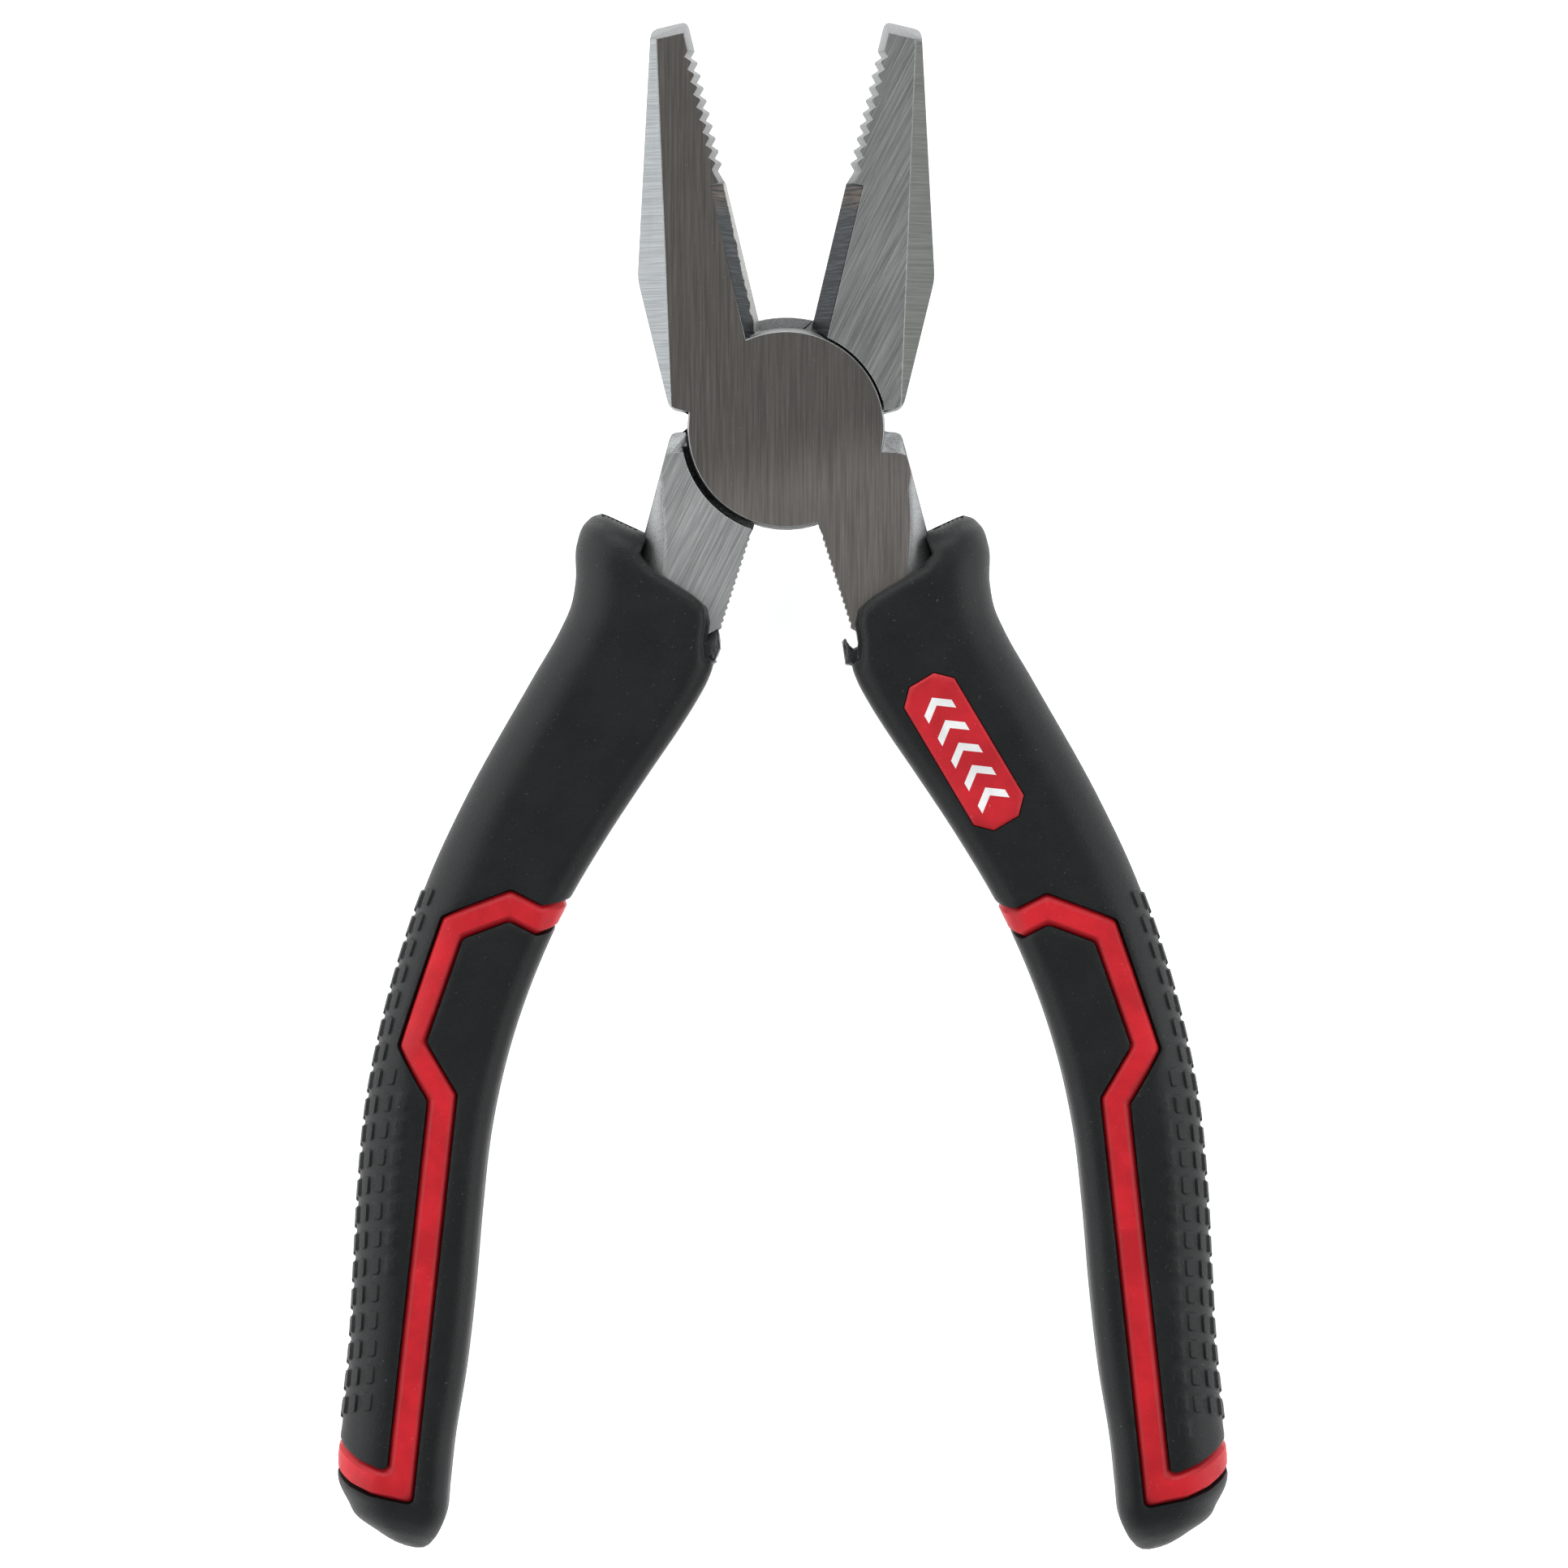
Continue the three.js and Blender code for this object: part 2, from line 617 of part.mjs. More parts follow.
function gripMeshes(side, direction, withBadge) {
  const shift = direction * gripOffset;
  const bandShift = direction * bandOffset;
  const steel = solid(slab(handleOutline(fitGap), -5, headThickness + 5)).intersect(sideProfile(fitGap));
  let skin = gripBody(0, shift)
    .subtract(sleeveBody(fitGap))
    .subtract(steel)
    .subtract(mouthCut(0, shift));
  const meshes = [];
  if (withBadge) {
    const badge = gripBody(-badgeProud, shift)
      .subtract(gripBody(badgeDepth, shift))
      .intersect(badgePrism(0, shift));
    skin = skin.subtract(badgePrism(fitGap, shift).subtract(gripBody(badgeDepth + fitGap, shift)));
    meshes.push(named(`${side}_grip_badge`, badge, rubberRed()));
  }
  const sleeve = sleeveBody(0).subtract(steel).subtract(mouthCut(1, shift));
  const outerShell = skin.intersect(bandSide(1, fitGap, bandShift));
  const innerShell = skin.intersect(bandSide(-1, fitGap, bandShift));
  const band = skin.subtract(bandSide(1, 0, bandShift)).subtract(bandSide(-1, 0, bandShift));
  meshes.push(named(`${side}_grip_sleeve`, sleeve, sleeveBlack()));
  meshes.push(named(`${side}_grip_outer_shell`, outerShell, rubberBlack()));
  meshes.push(named(`${side}_grip_inner_shell`, innerShell, rubberBlack()));
  meshes.push(named(`${side}_grip_band`, band, rubberRed()));
  return meshes;
}

// ---- rivet -----------------------------------------------------------------------------------

function cylinder(radius, low, high) {
  const geometry = new THREE.CylinderGeometry(radius, radius, high - low, 48);
  geometry.rotateX(Math.PI / 2);
  geometry.translate(0, 0, (low + high) / 2);
  return solid(geometry);
}

const rivet = cylinder(rivetRadius, 0, rivetDepth);
const blindBore = cylinder(rivetRadius + rivetGap, -1, rivetDepth + rivetGap);
const throughBore = cylinder(rivetRadius + rivetGap, -1, headThickness + 1);

// ---- assembly --------------------------------------------------------------------------------

const frontHalf = new THREE.Group();
frontHalf.add(named('front_half', forgedHalf(false).subtract(blindBore), groundSteel()));
frontHalf.add(named('pivot_rivet', rivet, rivetSteel()));
frontHalf.add(...gripMeshes('right', -1, true));
frontHalf.rotation.z = radians(openHalfAngle);

const turnedOver = new THREE.Group();
turnedOver.add(named('back_half', forgedHalf(true).subtract(throughBore), groundSteel()));
turnedOver.add(...gripMeshes('left', 1, false));
turnedOver.rotation.y = Math.PI;
turnedOver.position.z = headThickness;

const backHalf = new THREE.Group();
backHalf.add(turnedOver);
backHalf.rotation.z = -radians(openHalfAngle);

const pliers = new THREE.Group();
pliers.add(frontHalf, backHalf);

export default pliers;
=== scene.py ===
import math

import bmesh
import bpy
import numpy as np
from mathutils import Matrix, Vector, noise
from mathutils.geometry import delaunay_2d_cdt
from mathutils.kdtree import KDTree


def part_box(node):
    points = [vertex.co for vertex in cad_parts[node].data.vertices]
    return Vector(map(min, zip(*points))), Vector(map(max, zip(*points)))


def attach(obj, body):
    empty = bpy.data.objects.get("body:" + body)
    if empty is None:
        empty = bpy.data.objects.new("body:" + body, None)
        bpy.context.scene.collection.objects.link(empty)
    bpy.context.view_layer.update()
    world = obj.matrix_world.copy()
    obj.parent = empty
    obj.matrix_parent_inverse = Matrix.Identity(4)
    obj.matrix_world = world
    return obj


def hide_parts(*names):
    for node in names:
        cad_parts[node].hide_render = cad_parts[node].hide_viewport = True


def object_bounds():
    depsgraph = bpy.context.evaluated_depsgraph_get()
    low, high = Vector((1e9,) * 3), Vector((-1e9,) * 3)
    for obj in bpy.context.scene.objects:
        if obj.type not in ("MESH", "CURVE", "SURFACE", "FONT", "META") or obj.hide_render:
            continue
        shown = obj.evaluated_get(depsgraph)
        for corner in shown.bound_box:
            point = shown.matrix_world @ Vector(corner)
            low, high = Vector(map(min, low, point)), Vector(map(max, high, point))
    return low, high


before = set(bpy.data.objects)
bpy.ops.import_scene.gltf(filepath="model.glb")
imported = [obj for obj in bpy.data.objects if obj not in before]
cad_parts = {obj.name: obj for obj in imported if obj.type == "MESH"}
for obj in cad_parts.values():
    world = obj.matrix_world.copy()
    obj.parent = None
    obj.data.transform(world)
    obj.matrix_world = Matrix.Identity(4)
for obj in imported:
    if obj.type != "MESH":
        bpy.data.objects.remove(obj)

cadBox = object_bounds()
mm = 0.001
print("frame loaded")

# sizes shared by the pieces, in millimetres and degrees
tool = {
    "openHalfAngle": 13.4,
    "headThickness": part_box("front_half")[1].z / mm,
    "jointRadius": 12.4,
    "cutterEnd": 32.3,
    "bevelEnd": 51.6,
}
midPlane = tool["headThickness"] / 2
openAngle = math.radians(tool["openHalfAngle"])


def smoothCurve(rows):
    # a smooth function through [position, value] rows, for numbers or arrays
    spots = np.array([row[0] for row in rows], float)
    values = np.array([row[1] for row in rows], float)
    steps = np.diff(values) / np.diff(spots)
    slopes = np.empty_like(values)
    slopes[0] = steps[0]
    slopes[-1] = steps[-1]
    before = np.diff(spots)[:-1]
    after = np.diff(spots)[1:]
    slopes[1:-1] = (steps[:-1] * after + steps[1:] * before) / (before + after)

    def evaluate(position):
        position = np.clip(position, spots[0], spots[-1])
        i = np.clip(np.searchsorted(spots, position) - 1, 0, len(spots) - 2)
        width = spots[i + 1] - spots[i]
        t = (position - spots[i]) / width
        rise = values[i] * (1 + 2 * t) * (1 - t) ** 2 + values[i + 1] * t * t * (3 - 2 * t)
        return rise + width * (slopes[i] * t * (1 - t) ** 2 + slopes[i + 1] * t * t * (t - 1))

    return evaluate


def cornerArc(before, corner, after, radius, count):
    # the true arc that rounds one corner of a line
    toBefore = before - corner
    toAfter = after - corner
    half = toBefore.angle(toAfter) / 2
    if half > math.radians(89):
        start, finish = corner + toBefore.normalized() * 0.1, corner + toAfter.normalized() * 0.1
        return [start.lerp(finish, k / count) for k in range(count + 1)]
    reach = min(radius / math.tan(half), toBefore.length / 2.1, toAfter.length / 2.1)
    bend = reach * math.tan(half)
    bisector = (toBefore.normalized() + toAfter.normalized()).normalized()
    centre = corner + bisector * (bend / math.sin(half))
    spoke = corner + toBefore.normalized() * reach - centre
    finish = corner + toAfter.normalized() * reach - centre
    sweep = -spoke.angle_signed(finish)
    return [centre + Matrix.Rotation(sweep * k / count, 2) @ spoke for k in range(count + 1)]


def runCounts(corners, step):
    return [max(1, round(math.dist(a, b) / step)) for a, b in zip(corners[:-1], corners[1:])]


def roundedLine(corners, radius, runs, arcPoints=4):
    # straight runs joined by arcs, with a set number of points on each
    corners = [Vector(corner) for corner in corners]
    points = []
    start = corners[0]
    for i, run in enumerate(runs[:-1]):
        arc = cornerArc(corners[i], corners[i + 1], corners[i + 2], radius, arcPoints)
        points += [start.lerp(arc[0], k / run) for k in range(run)]
        points += arc[:-1]
        start = arc[-1]
    points += [start.lerp(corners[-1], k / runs[-1]) for k in range(runs[-1] + 1)]
    return points


def parallelCorners(corners, distance):
    # the corners of the line that runs beside this one, to the right of its direction
    corners = [Vector(corner) for corner in corners]
    moved = []
    for i, corner in enumerate(corners):
        before = (corner - corners[i - 1]).normalized() if i else (corners[1] - corner).normalized()
        after = (corners[i + 1] - corner).normalized() if i < len(corners) - 1 else before
        sides = [Vector((along.y, -along.x)) for along in (before, after)]
        moved.append(corner + (sides[0] + sides[1]) / (1 + sides[0].dot(sides[1])) * distance)
    return moved


def insidePolygon(points, polygon):
    x, y = points[:, 0], points[:, 1]
    inside = np.zeros(len(points), bool)
    for i in range(len(polygon)):
        x0, y0 = polygon[i - 1]
        x1, y1 = polygon[i]
        if y0 == y1:
            continue
        crosses = ((y0 > y) != (y1 > y)) & (x < (x1 - x0) * (y - y0) / (y1 - y0) + x0)
        inside ^= crosses
    return inside


def distanceToLine(points, line):
    nearest = np.full(len(points), 1e9)
    for start, finish in zip(line[:-1], line[1:]):
        start, finish = np.array(start), np.array(finish)
        along = finish - start
        if along @ along < 1e-12:
            continue
        share = np.clip(((points - start) @ along) / (along @ along), 0, 1)
        nearest = np.minimum(nearest, np.linalg.norm(points - start - share[:, None] * along, axis=1))
    return nearest


def addObject(name, data):
    made = bpy.data.objects.new(name, data)
    bpy.context.scene.collection.objects.link(made)
    return made


def objectFrom(name, coords, faces, materials, faceMaterials):
    mesh = bpy.data.meshes.new(name)
    mesh.from_pydata([tuple(c) for c in coords], [], faces)
    for material in materials:
        mesh.materials.append(material)
    mesh.polygons.foreach_set("material_index", faceMaterials)
    mesh.update()
    return addObject(name, mesh)


def shadeSmooth(mesh, sharpAngle):
    mesh.shade_smooth()
    mesh.set_sharp_from_angle(angle=math.radians(sharpAngle))


class Value:
    # wraps a socket so that shader maths reads as an expression
    def __init__(self, nodes, socket):
        self.nodes = nodes
        self.socket = socket

    def maths(self, operation, *terms):
        return self.nodes.value("ShaderNodeMath", 0, {"operation": operation}, dict(enumerate(terms)))

    def __add__(self, other):
        return self.maths("ADD", self, other)

    def __radd__(self, other):
        return self.maths("ADD", other, self)

    def __sub__(self, other):
        return self.maths("SUBTRACT", self, other)

    def __rsub__(self, other):
        return self.maths("SUBTRACT", other, self)

    def __mul__(self, other):
        return self.maths("MULTIPLY", self, other)

    def __rmul__(self, other):
        return self.maths("MULTIPLY", other, self)

    def __abs__(self):
        return self.maths("ABSOLUTE", self)

    def ramp(self, low, high):
        # 0 below low and 1 above high, or the reverse when low is the larger
        return self.nodes.value(
            "ShaderNodeMapRange", 0, {"clamp": True, "interpolation_type": "SMOOTHSTEP"},
            {0: self, 1: low, 2: high, 3: 0.0, 4: 1.0},
        )


class Nodes:
    # one node tree, of a material or of the world
    def __init__(self, tree):
        self.tree = tree

    def put(self, socket, content):
        if isinstance(content, Value):
            self.tree.links.new(content.socket, socket)
        else:
            socket.default_value = content

    def node(self, kind, settings=None, inputs=None):
        made = self.tree.nodes.new(kind)
        for key, setting in (settings or {}).items():
            setattr(made, key, setting)
        for key, content in (inputs or {}).items():
            self.put(made.inputs[key], content)
        return made

    def value(self, kind, output, settings=None, inputs=None):
        return Value(self, self.node(kind, settings, inputs).outputs[output])


class Finish(Nodes):
    # one procedural material
    def __init__(self, name, baseColour, roughness, metallic=0.0):
        self.material = bpy.data.materials.new(name)
        self.material.use_nodes = True
        super().__init__(self.material.node_tree)
        self.shader = self.tree.nodes["Principled BSDF"]
        self.put(self.shader.inputs["Base Color"], (*baseColour, 1))
        self.put(self.shader.inputs["Roughness"], roughness)
        self.put(self.shader.inputs["Metallic"], metallic)

    def vector(self, x, y, z):
        return self.value("ShaderNodeCombineXYZ", 0, None, {0: x, 1: y, 2: z})

    def noise(self, coords, scale, detail=3.0, roughness=0.55):
        return self.value("ShaderNodeTexNoise", 0, {"noise_dimensions": "3D"}, {
            "Vector": coords, "Scale": scale, "Detail": detail, "Roughness": roughness,
        })

    def mixColour(self, factor, first, second, blend="MIX"):
        settings = {"data_type": "RGBA", "blend_type": blend, "clamp_factor": True}
        return self.value("ShaderNodeMix", 2, settings, {0: factor, 6: first, 7: second})

    def colour(self, content):
        self.put(self.shader.inputs["Base Color"], content)

    def rough(self, content):
        self.put(self.shader.inputs["Roughness"], content)

    def bumps(self, height, distance, strength):
        inputs = {"Height": height, "Distance": distance, "Strength": strength}
        self.put(self.shader.inputs["Normal"], self.value("ShaderNodeBump", 0, None, inputs))


def scaled(colour, amount):
    return tuple(min(1, c * amount) for c in colour[:3]) + (1,)


steelLook = {
    "frontFace": (0.262, 0.243, 0.222, 1),
    "backFace": (0.53, 0.54, 0.525, 1),
    # the two bevel tones are a lit and a shaded copy of one ground finish: the back half's darker bevel tone
    # is painted shade
    "frontBevel": (0.235, 0.246, 0.25, 1),
    "backBevelPaintedShade": (0.103, 0.108, 0.100, 1),
    "blasted": (0.42, 0.43, 0.43, 1),
    "cutter": (0.020, 0.024, 0.027, 1),
    "land": (0.62, 0.62, 0.60, 1),
    "straw": (0.20, 0.13, 0.085, 1),
    "faceRoughness": 0.36,
    "blastedRoughness": 0.5,
    "bumpDepth": 0.06 * mm,
    "bumpStrength": 0.8,
}


def steelFinish(name, turn, brushTurn, faceColour, bevelColour, landWidth, contrast):
    # turn is the half's swing from closed, brushTurn the direction of its grinding lines
    look = steelLook
    finish = Finish(name, (0.3, 0.3, 0.3), 0.4, 1.0)
    coords = finish.node("ShaderNodeTexCoord")
    place = Value(finish, coords.outputs["Object"])
    facing = Value(finish, coords.outputs["Normal"])
    at = finish.node("ShaderNodeSeparateXYZ", None, {0: place})
    x, y, z = (Value(finish, at.outputs[i]) * (1 / mm) for i in range(3))
    normal = finish.node("ShaderNodeSeparateXYZ", None, {0: facing})
    nx, ny, nz = (Value(finish, normal.outputs[i]) for i in range(3))
    c, s = math.cos(turn), math.sin(turn)
    xc = x * c + y * s
    yc = y * c - x * s
    nxc = nx * c + ny * s
    up = abs(nz)
    side = finish.value("ShaderNodeMath", 0, {"operation": "SIGN"}, {0: xc})
    outward = nxc * side

    def streaks(angle, fine, long, seed, depth=0.4):
        ca, sa = math.cos(angle), math.sin(angle)
        across = x * ca + y * sa
        along = y * ca - x * sa
        stretched = finish.vector(across * fine, along * long, z * fine * depth + seed)
        return finish.noise(stretched, 1.0, 4.0, 0.6)

    brush = streaks(brushTurn, 4.6, 0.10, 0.0)
    fineBrush = streaks(brushTurn, 9.0, 0.3, 7.0)
    crossBrush = streaks(math.radians(90), 5.6, 0.05, 3.0, 0.03)
    grain = finish.noise(finish.vector(x, y, z), 6.5, 4.0, 0.7)
    blotch = finish.noise(finish.vector(x, y, z), 0.35, 3.0, 0.6)
    specks = finish.noise(finish.vector(x, y, z), 2.1, 2.0, 0.5).ramp(0.70, 0.76)

    face = up.ramp(0.975, 0.992) * abs(z - midPlane).ramp(midPlane - 0.35, midPlane - 0.15)
    shoulder = up.ramp(0.975, 0.992) * (1 - face)
    jaw = yc.ramp(3.0, 5.0)
    bevel = (1 - up.ramp(0.9, 0.96)) * up.ramp(0.5, 0.62) * outward.ramp(0.3, 0.5) * jaw
    bevel = bevel * (1 - yc.ramp(tool["bevelEnd"], tool["bevelEnd"] + 0.6))
    cutterEnd = tool["cutterEnd"]
    cutter = outward.ramp(-0.3, -0.6) * jaw * yc.ramp(cutterEnd + 0.05, cutterEnd - 0.05)
    cutter = cutter * up.ramp(0.1, 0.25)

    dark, light = scaled(faceColour, 1 - contrast), scaled(faceColour, 1 + contrast)
    faceTone = finish.mixColour(brush.ramp(0.25, 0.75), dark, light)
    faceTone = finish.mixColour(fineBrush.ramp(0.58, 0.72) * contrast * 3, faceTone, scaled(faceColour, 1.4))
    faceTone = finish.mixColour(blotch.ramp(0.42, 0.7) * 0.2, faceTone, scaled(faceColour, 1.15))
    faceTone = finish.mixColour((yc * -1).ramp(0.0, 9.0), faceTone, (1.44, 1.44, 1.44, 1), "MULTIPLY")
    faceTone = finish.mixColour(specks * 0.35, faceTone, scaled(faceColour, 2.0))
    blastedTone = finish.mixColour(grain.ramp(0.3, 0.75), scaled(look["blasted"], 0.5), look["blasted"])
    # painted shade: steep blasted facets on the shank are painted darker the further they turn from facing
    # up
    steepFacetShade = (1 - up.ramp(0.3, 0.86)) * (yc * -1).ramp(5.0, 9.0) * 0.8
    blastedTone = finish.mixColour(steepFacetShade, blastedTone, scaled(look["blasted"], 0.22))
    pits = finish.noise(finish.vector(x, y, z), 2.6, 3.0, 0.7).ramp(0.56, 0.66)
    atTip = yc.ramp(cutterEnd - 2, cutterEnd)
    blastedTone = finish.mixColour(atTip * (0.45 + pits * 0.4), blastedTone, scaled(look["blasted"], 0.4))
    dark, light = scaled(bevelColour, 0.8), scaled(bevelColour, 1.12)
    bevelTone = finish.mixColour(crossBrush.ramp(0.32, 0.68), dark, light)
    cutterTone = finish.mixColour(crossBrush.ramp(0.42, 0.68), look["cutter"], scaled(look["cutter"], 3.6))
    heat = yc.ramp(cutterEnd - 4.5, cutterEnd - 1.5) * (1 - yc.ramp(cutterEnd - 0.4, cutterEnd))
    cutterTone = finish.mixColour(heat * crossBrush.ramp(0.4, 0.6) * 0.5, cutterTone, look["straw"])
    ragged = finish.noise(finish.vector(yc * 0.8, z * 0.3, 2.0), 1.0, 3.0, 0.6)
    edge = landWidth * (1 + (ragged - 0.5) * 1.2) * (1.55 - 0.026 * yc)
    land = cutter * (edge - abs(xc)).ramp(-0.06, 0.06)
    landTone = finish.mixColour(grain.ramp(0.3, 0.6), scaled(look["land"], 0.55), look["land"])

    tone = finish.mixColour(face, blastedTone, faceTone)
    tone = finish.mixColour(bevel, tone, bevelTone)
    tone = finish.mixColour(cutter, tone, cutterTone)
    tone = finish.mixColour(land, tone, landTone)
    finish.colour(tone)

    ground = face + bevel
    ground = ground.maths("MINIMUM", ground, 1.0)
    faceRough = look["faceRoughness"] + (brush - 0.5) * 0.25
    blastedRough = look["blastedRoughness"] + (grain - 0.5) * 0.3
    finish.rough(blastedRough + (faceRough - blastedRough) * ground)
    groundLift = brush * face + crossBrush * (bevel + cutter * 0.8) + fineBrush * face * 0.4
    blastedLift = grain * (1 - face) * (1 - bevel) * (0.6 + shoulder * 2.2)
    finish.bumps(groundLift * 0.35 + blastedLift, look["bumpDepth"], look["bumpStrength"])
    return finish.material


frontSteel = steelFinish(
    "front forging steel", openAngle, 0.0,
    steelLook["frontFace"], steelLook["frontBevel"], 0.75, 0.07,
)
# the back half's darker bevel tone is painted shade
backSteel = steelFinish(
    "back forging steel", -openAngle, -math.radians(27),
    steelLook["backFace"], steelLook["backBevelPaintedShade"], 0.14, 0.17,
)

forging = {
    "edgeBreak": 0.13 * mm,
    "breakSteps": 2,
    "weldGap": 0.002 * mm,
    "joinFlats": 0.4,           # degrees between facets that are one flat
    "sharpFrom": 24,            # degrees across an edge that gets a break
    "shortest": 0.6 * mm,
    "toothEdge": 1.3 * mm,      # shorter edges among the teeth stay sharp
    "teethFrom": 25 * mm,
    "smallest": 6 * mm * mm,    # area beside an edge that gets a break
    "broad": 25 * mm * mm,      # area of a face that shades flat
    "heldShare": 0.8,
    "heldCosine": 0.9995,
    "heldWithin": 0.05 * mm,
    "heldPasses": 3,
    "smoothTo": 50,
}


def flatNormals(mesh):
    # broad faces shade flat, and the narrow ones beside them turn smoothly out of them
    closest = math.cos(math.radians(forging["smoothTo"]))
    beside = {}
    for face in mesh.polygons:
        if face.area > forging["broad"]:
            for corner, vertex in zip(face.loop_indices, face.vertices):
                beside.setdefault(vertex, []).append(face.normal.copy())
                mesh.edges[mesh.loops[corner].edge_index].use_edge_sharp = True
    normals = [Vector(corner.vector) for corner in mesh.corner_normals]
    for face in mesh.polygons:
        for corner, vertex in zip(face.loop_indices, face.vertices):
            if face.area > forging["broad"]:
                normals[corner] = face.normal.copy()
                continue
            near = [normal for normal in beside.get(vertex, []) if normal.dot(face.normal) > closest]
            if near:
                normals[corner] = sum(near, Vector()).normalized()
    mesh.normals_split_custom_set(normals)


def heldFlat(work, planes):
    # the broad faces stay on their own planes where an edge break runs out
    for face in work.faces:
        if face.calc_area() < forging["broad"] * forging["heldShare"]:
            continue
        for normal, spot in planes:
            away = abs(normal.dot(face.calc_center_median() - spot))
            if normal.dot(face.normal) > forging["heldCosine"] and away < forging["heldWithin"]:
                for vertex in face.verts:
                    vertex.co -= normal * normal.dot(vertex.co - spot)
                break


def forgedPiece(node, material):
    # the frame's solid with its flats joined up and every hard edge broken
    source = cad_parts[node].data
    work = bmesh.new()
    work.from_mesh(source)
    bmesh.ops.remove_doubles(work, verts=work.verts, dist=forging["weldGap"])
    bmesh.ops.dissolve_limit(
        work, angle_limit=math.radians(forging["joinFlats"]), use_dissolve_boundaries=False,
        verts=work.verts, edges=work.edges,
    )
    hard = [
        edge for edge in work.edges
        if len(edge.link_faces) == 2
        and math.degrees(edge.calc_face_angle(0)) > forging["sharpFrom"]
        and edge.calc_length() > forging["shortest"]
        and not (edge.calc_length() < forging["toothEdge"] and edge.verts[0].co.y > forging["teethFrom"])
        and max(face.calc_area() for face in edge.link_faces) > forging["smallest"]
    ]
    broad = [face for face in work.faces if face.calc_area() > forging["broad"]]
    planes = [(face.normal.copy(), face.calc_center_median()) for face in broad]
    bmesh.ops.bevel(
        work, geom=hard, offset=forging["edgeBreak"], offset_type="OFFSET",
        segments=forging["breakSteps"], profile=0.5, affect="EDGES", clamp_overlap=False,
    )
    for _ in range(forging["heldPasses"]):
        heldFlat(work, planes)
    bmesh.ops.remove_doubles(work, verts=work.verts, dist=forging["weldGap"])
    bmesh.ops.dissolve_degenerate(work, edges=work.edges, dist=forging["weldGap"])
    name = node + "_steel"
    mesh = bpy.data.meshes.new(name)
    work.to_mesh(mesh)
    work.free()
    mesh.materials.append(material)
    shadeSmooth(mesh, forging["smoothTo"])
    flatNormals(mesh)
    return addObject(name, mesh)


for node, body, steel in (("front_half", "front_body", frontSteel), ("back_half", "back_body", backSteel)):
    piece = forgedPiece(node, steel)
    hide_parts(node)
    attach(piece, body)
print("forgings made")


grip = {
    "top": -(tool["jointRadius"] + 3.3),    # crest of the guard
    "length": 133.3,
    "outerRadius": 6.0,
    "innerRadius": 2.8,
    "wall": 0.85,
    "offset": 0.45,
    "spacing": 0.62,
    "seam": 0.012,      # points this close to the mid plane are on the seam
    "weld": 0.004,
    "smoothTo": 32,
    # distances below the crest, then the value
    "outerEdge": [
        [0, 19.9], [0.5, 20.8], [1.4, 21.5], [4.4, 22.05], [9.2, 21.1], [12.4, 20.95], [15.4, 21.5],
        [22.4, 23.55], [39.4, 28.35], [49.4, 30.4], [59.4, 31.5], [69.4, 31.85], [79.4, 31.45],
        [89.4, 30.1], [99.4, 28.3], [109.4, 26.5], [119.4, 25.2], [124.4, 24.6], [127.4, 23.75],
        [129.4, 22.1], [131.2, 20.2], [132.1, 17.8], [132.7, 16.2], [133.1, 14.8], [133.3, 13.4],
    ],
    "innerEdge": [
        [0, 2.4], [10.4, 2.2], [14.6, 1.6], [17.4, 1.9], [20.4, 2.7], [23.4, 3.7], [30.4, 6.35],
        [39.4, 9.65], [49.4, 12.75], [59.4, 14.7], [69.4, 15.6], [79.4, 15.4], [89.4, 14.2],
        [99.4, 12.7], [109.4, 11.5], [119.4, 10.75], [124.4, 10.1], [128.2, 9.65], [130, 9.9],
        [131.7, 10.5], [132.7, 11.2], [133.1, 11.9], [133.3, 12.9],
    ],
    "halfThickness": [
        [0, 0], [0.12, 2.1], [0.45, 4], [1, 5.6], [1.8, 6.7], [3, 7.45], [4.5, 7.8], [9, 8], [16, 8],
        [30, 8.1], [50, 8.5], [75, 8.6], [95, 8.4], [115, 8.1], [124.3, 7.7], [128, 7.1],
        [130.4, 6], [132, 4.4], [132.8, 2.9], [133.2, 1.3], [133.3, 0],
    ],
    # edge of the mouth, from the crest round to the inner side
    "mouth": [
        (14.4, 0), (14.75, 3.1), (13.4, 4.5), (11.2, 5.4), (6.3, 7.3), (4, 8.6), (3.1, 10.3),
        (3.05, 12.6), (2.3, 14.8), (-9, 15.4),
    ],
    "mouthCorner": 0.8,
    "mouthRows": (0.15, 0.4, 0.75, 1.15, 1.6),      # creases beside the mouth, for its rounding
    "mouthRound": 1.7,
    "mouthDrop": 1.15,
    "mouthFill": 2.2,                # from the mouth to where the wall is no longer thickened
    "shankEdge": (11.3, 3.2),        # where the filled wall rounds off, and over what width
    "crestFall": (0.2, 19.3, 8.0),    # slope of the crest, where it starts and how far down it fades
}
outerEdge = smoothCurve(grip["outerEdge"])
innerEdge = smoothCurve(grip["innerEdge"])
halfThickness = smoothCurve(grip["halfThickness"])

band = {
    "line": [
        (3.0, 50.4), (10.8, 50.5), (14.9, 52.0), (19.0, 51.0), (25.6, 55.4), (27.2, 70.9),
        (21.7, 76.6), (15.5, 125.9), (19.0, 126.0), (22.0, 125.5), (24.6, 124.6), (27.2, 123.7),
        (34.0, 122.9),
    ],
    "corner": 0.9,
    "width": 3.7,
    "gap": 0.07,
    "offset": 0.5,
    # across the band from its outer side, and how deep the surface lies there
    "profile": [(1.85, -0.85), (1.8, -0.72), (1.12, -0.06), (1.0, 0.0), (0.0, 0.02),
                (-1.1, 0.0), (-1.22, -0.06), (-1.8, -0.72), (-1.85, -0.85)],
    "depth": 1.3,
    "weld": 0.01,
    "smoothTo": 24,
}


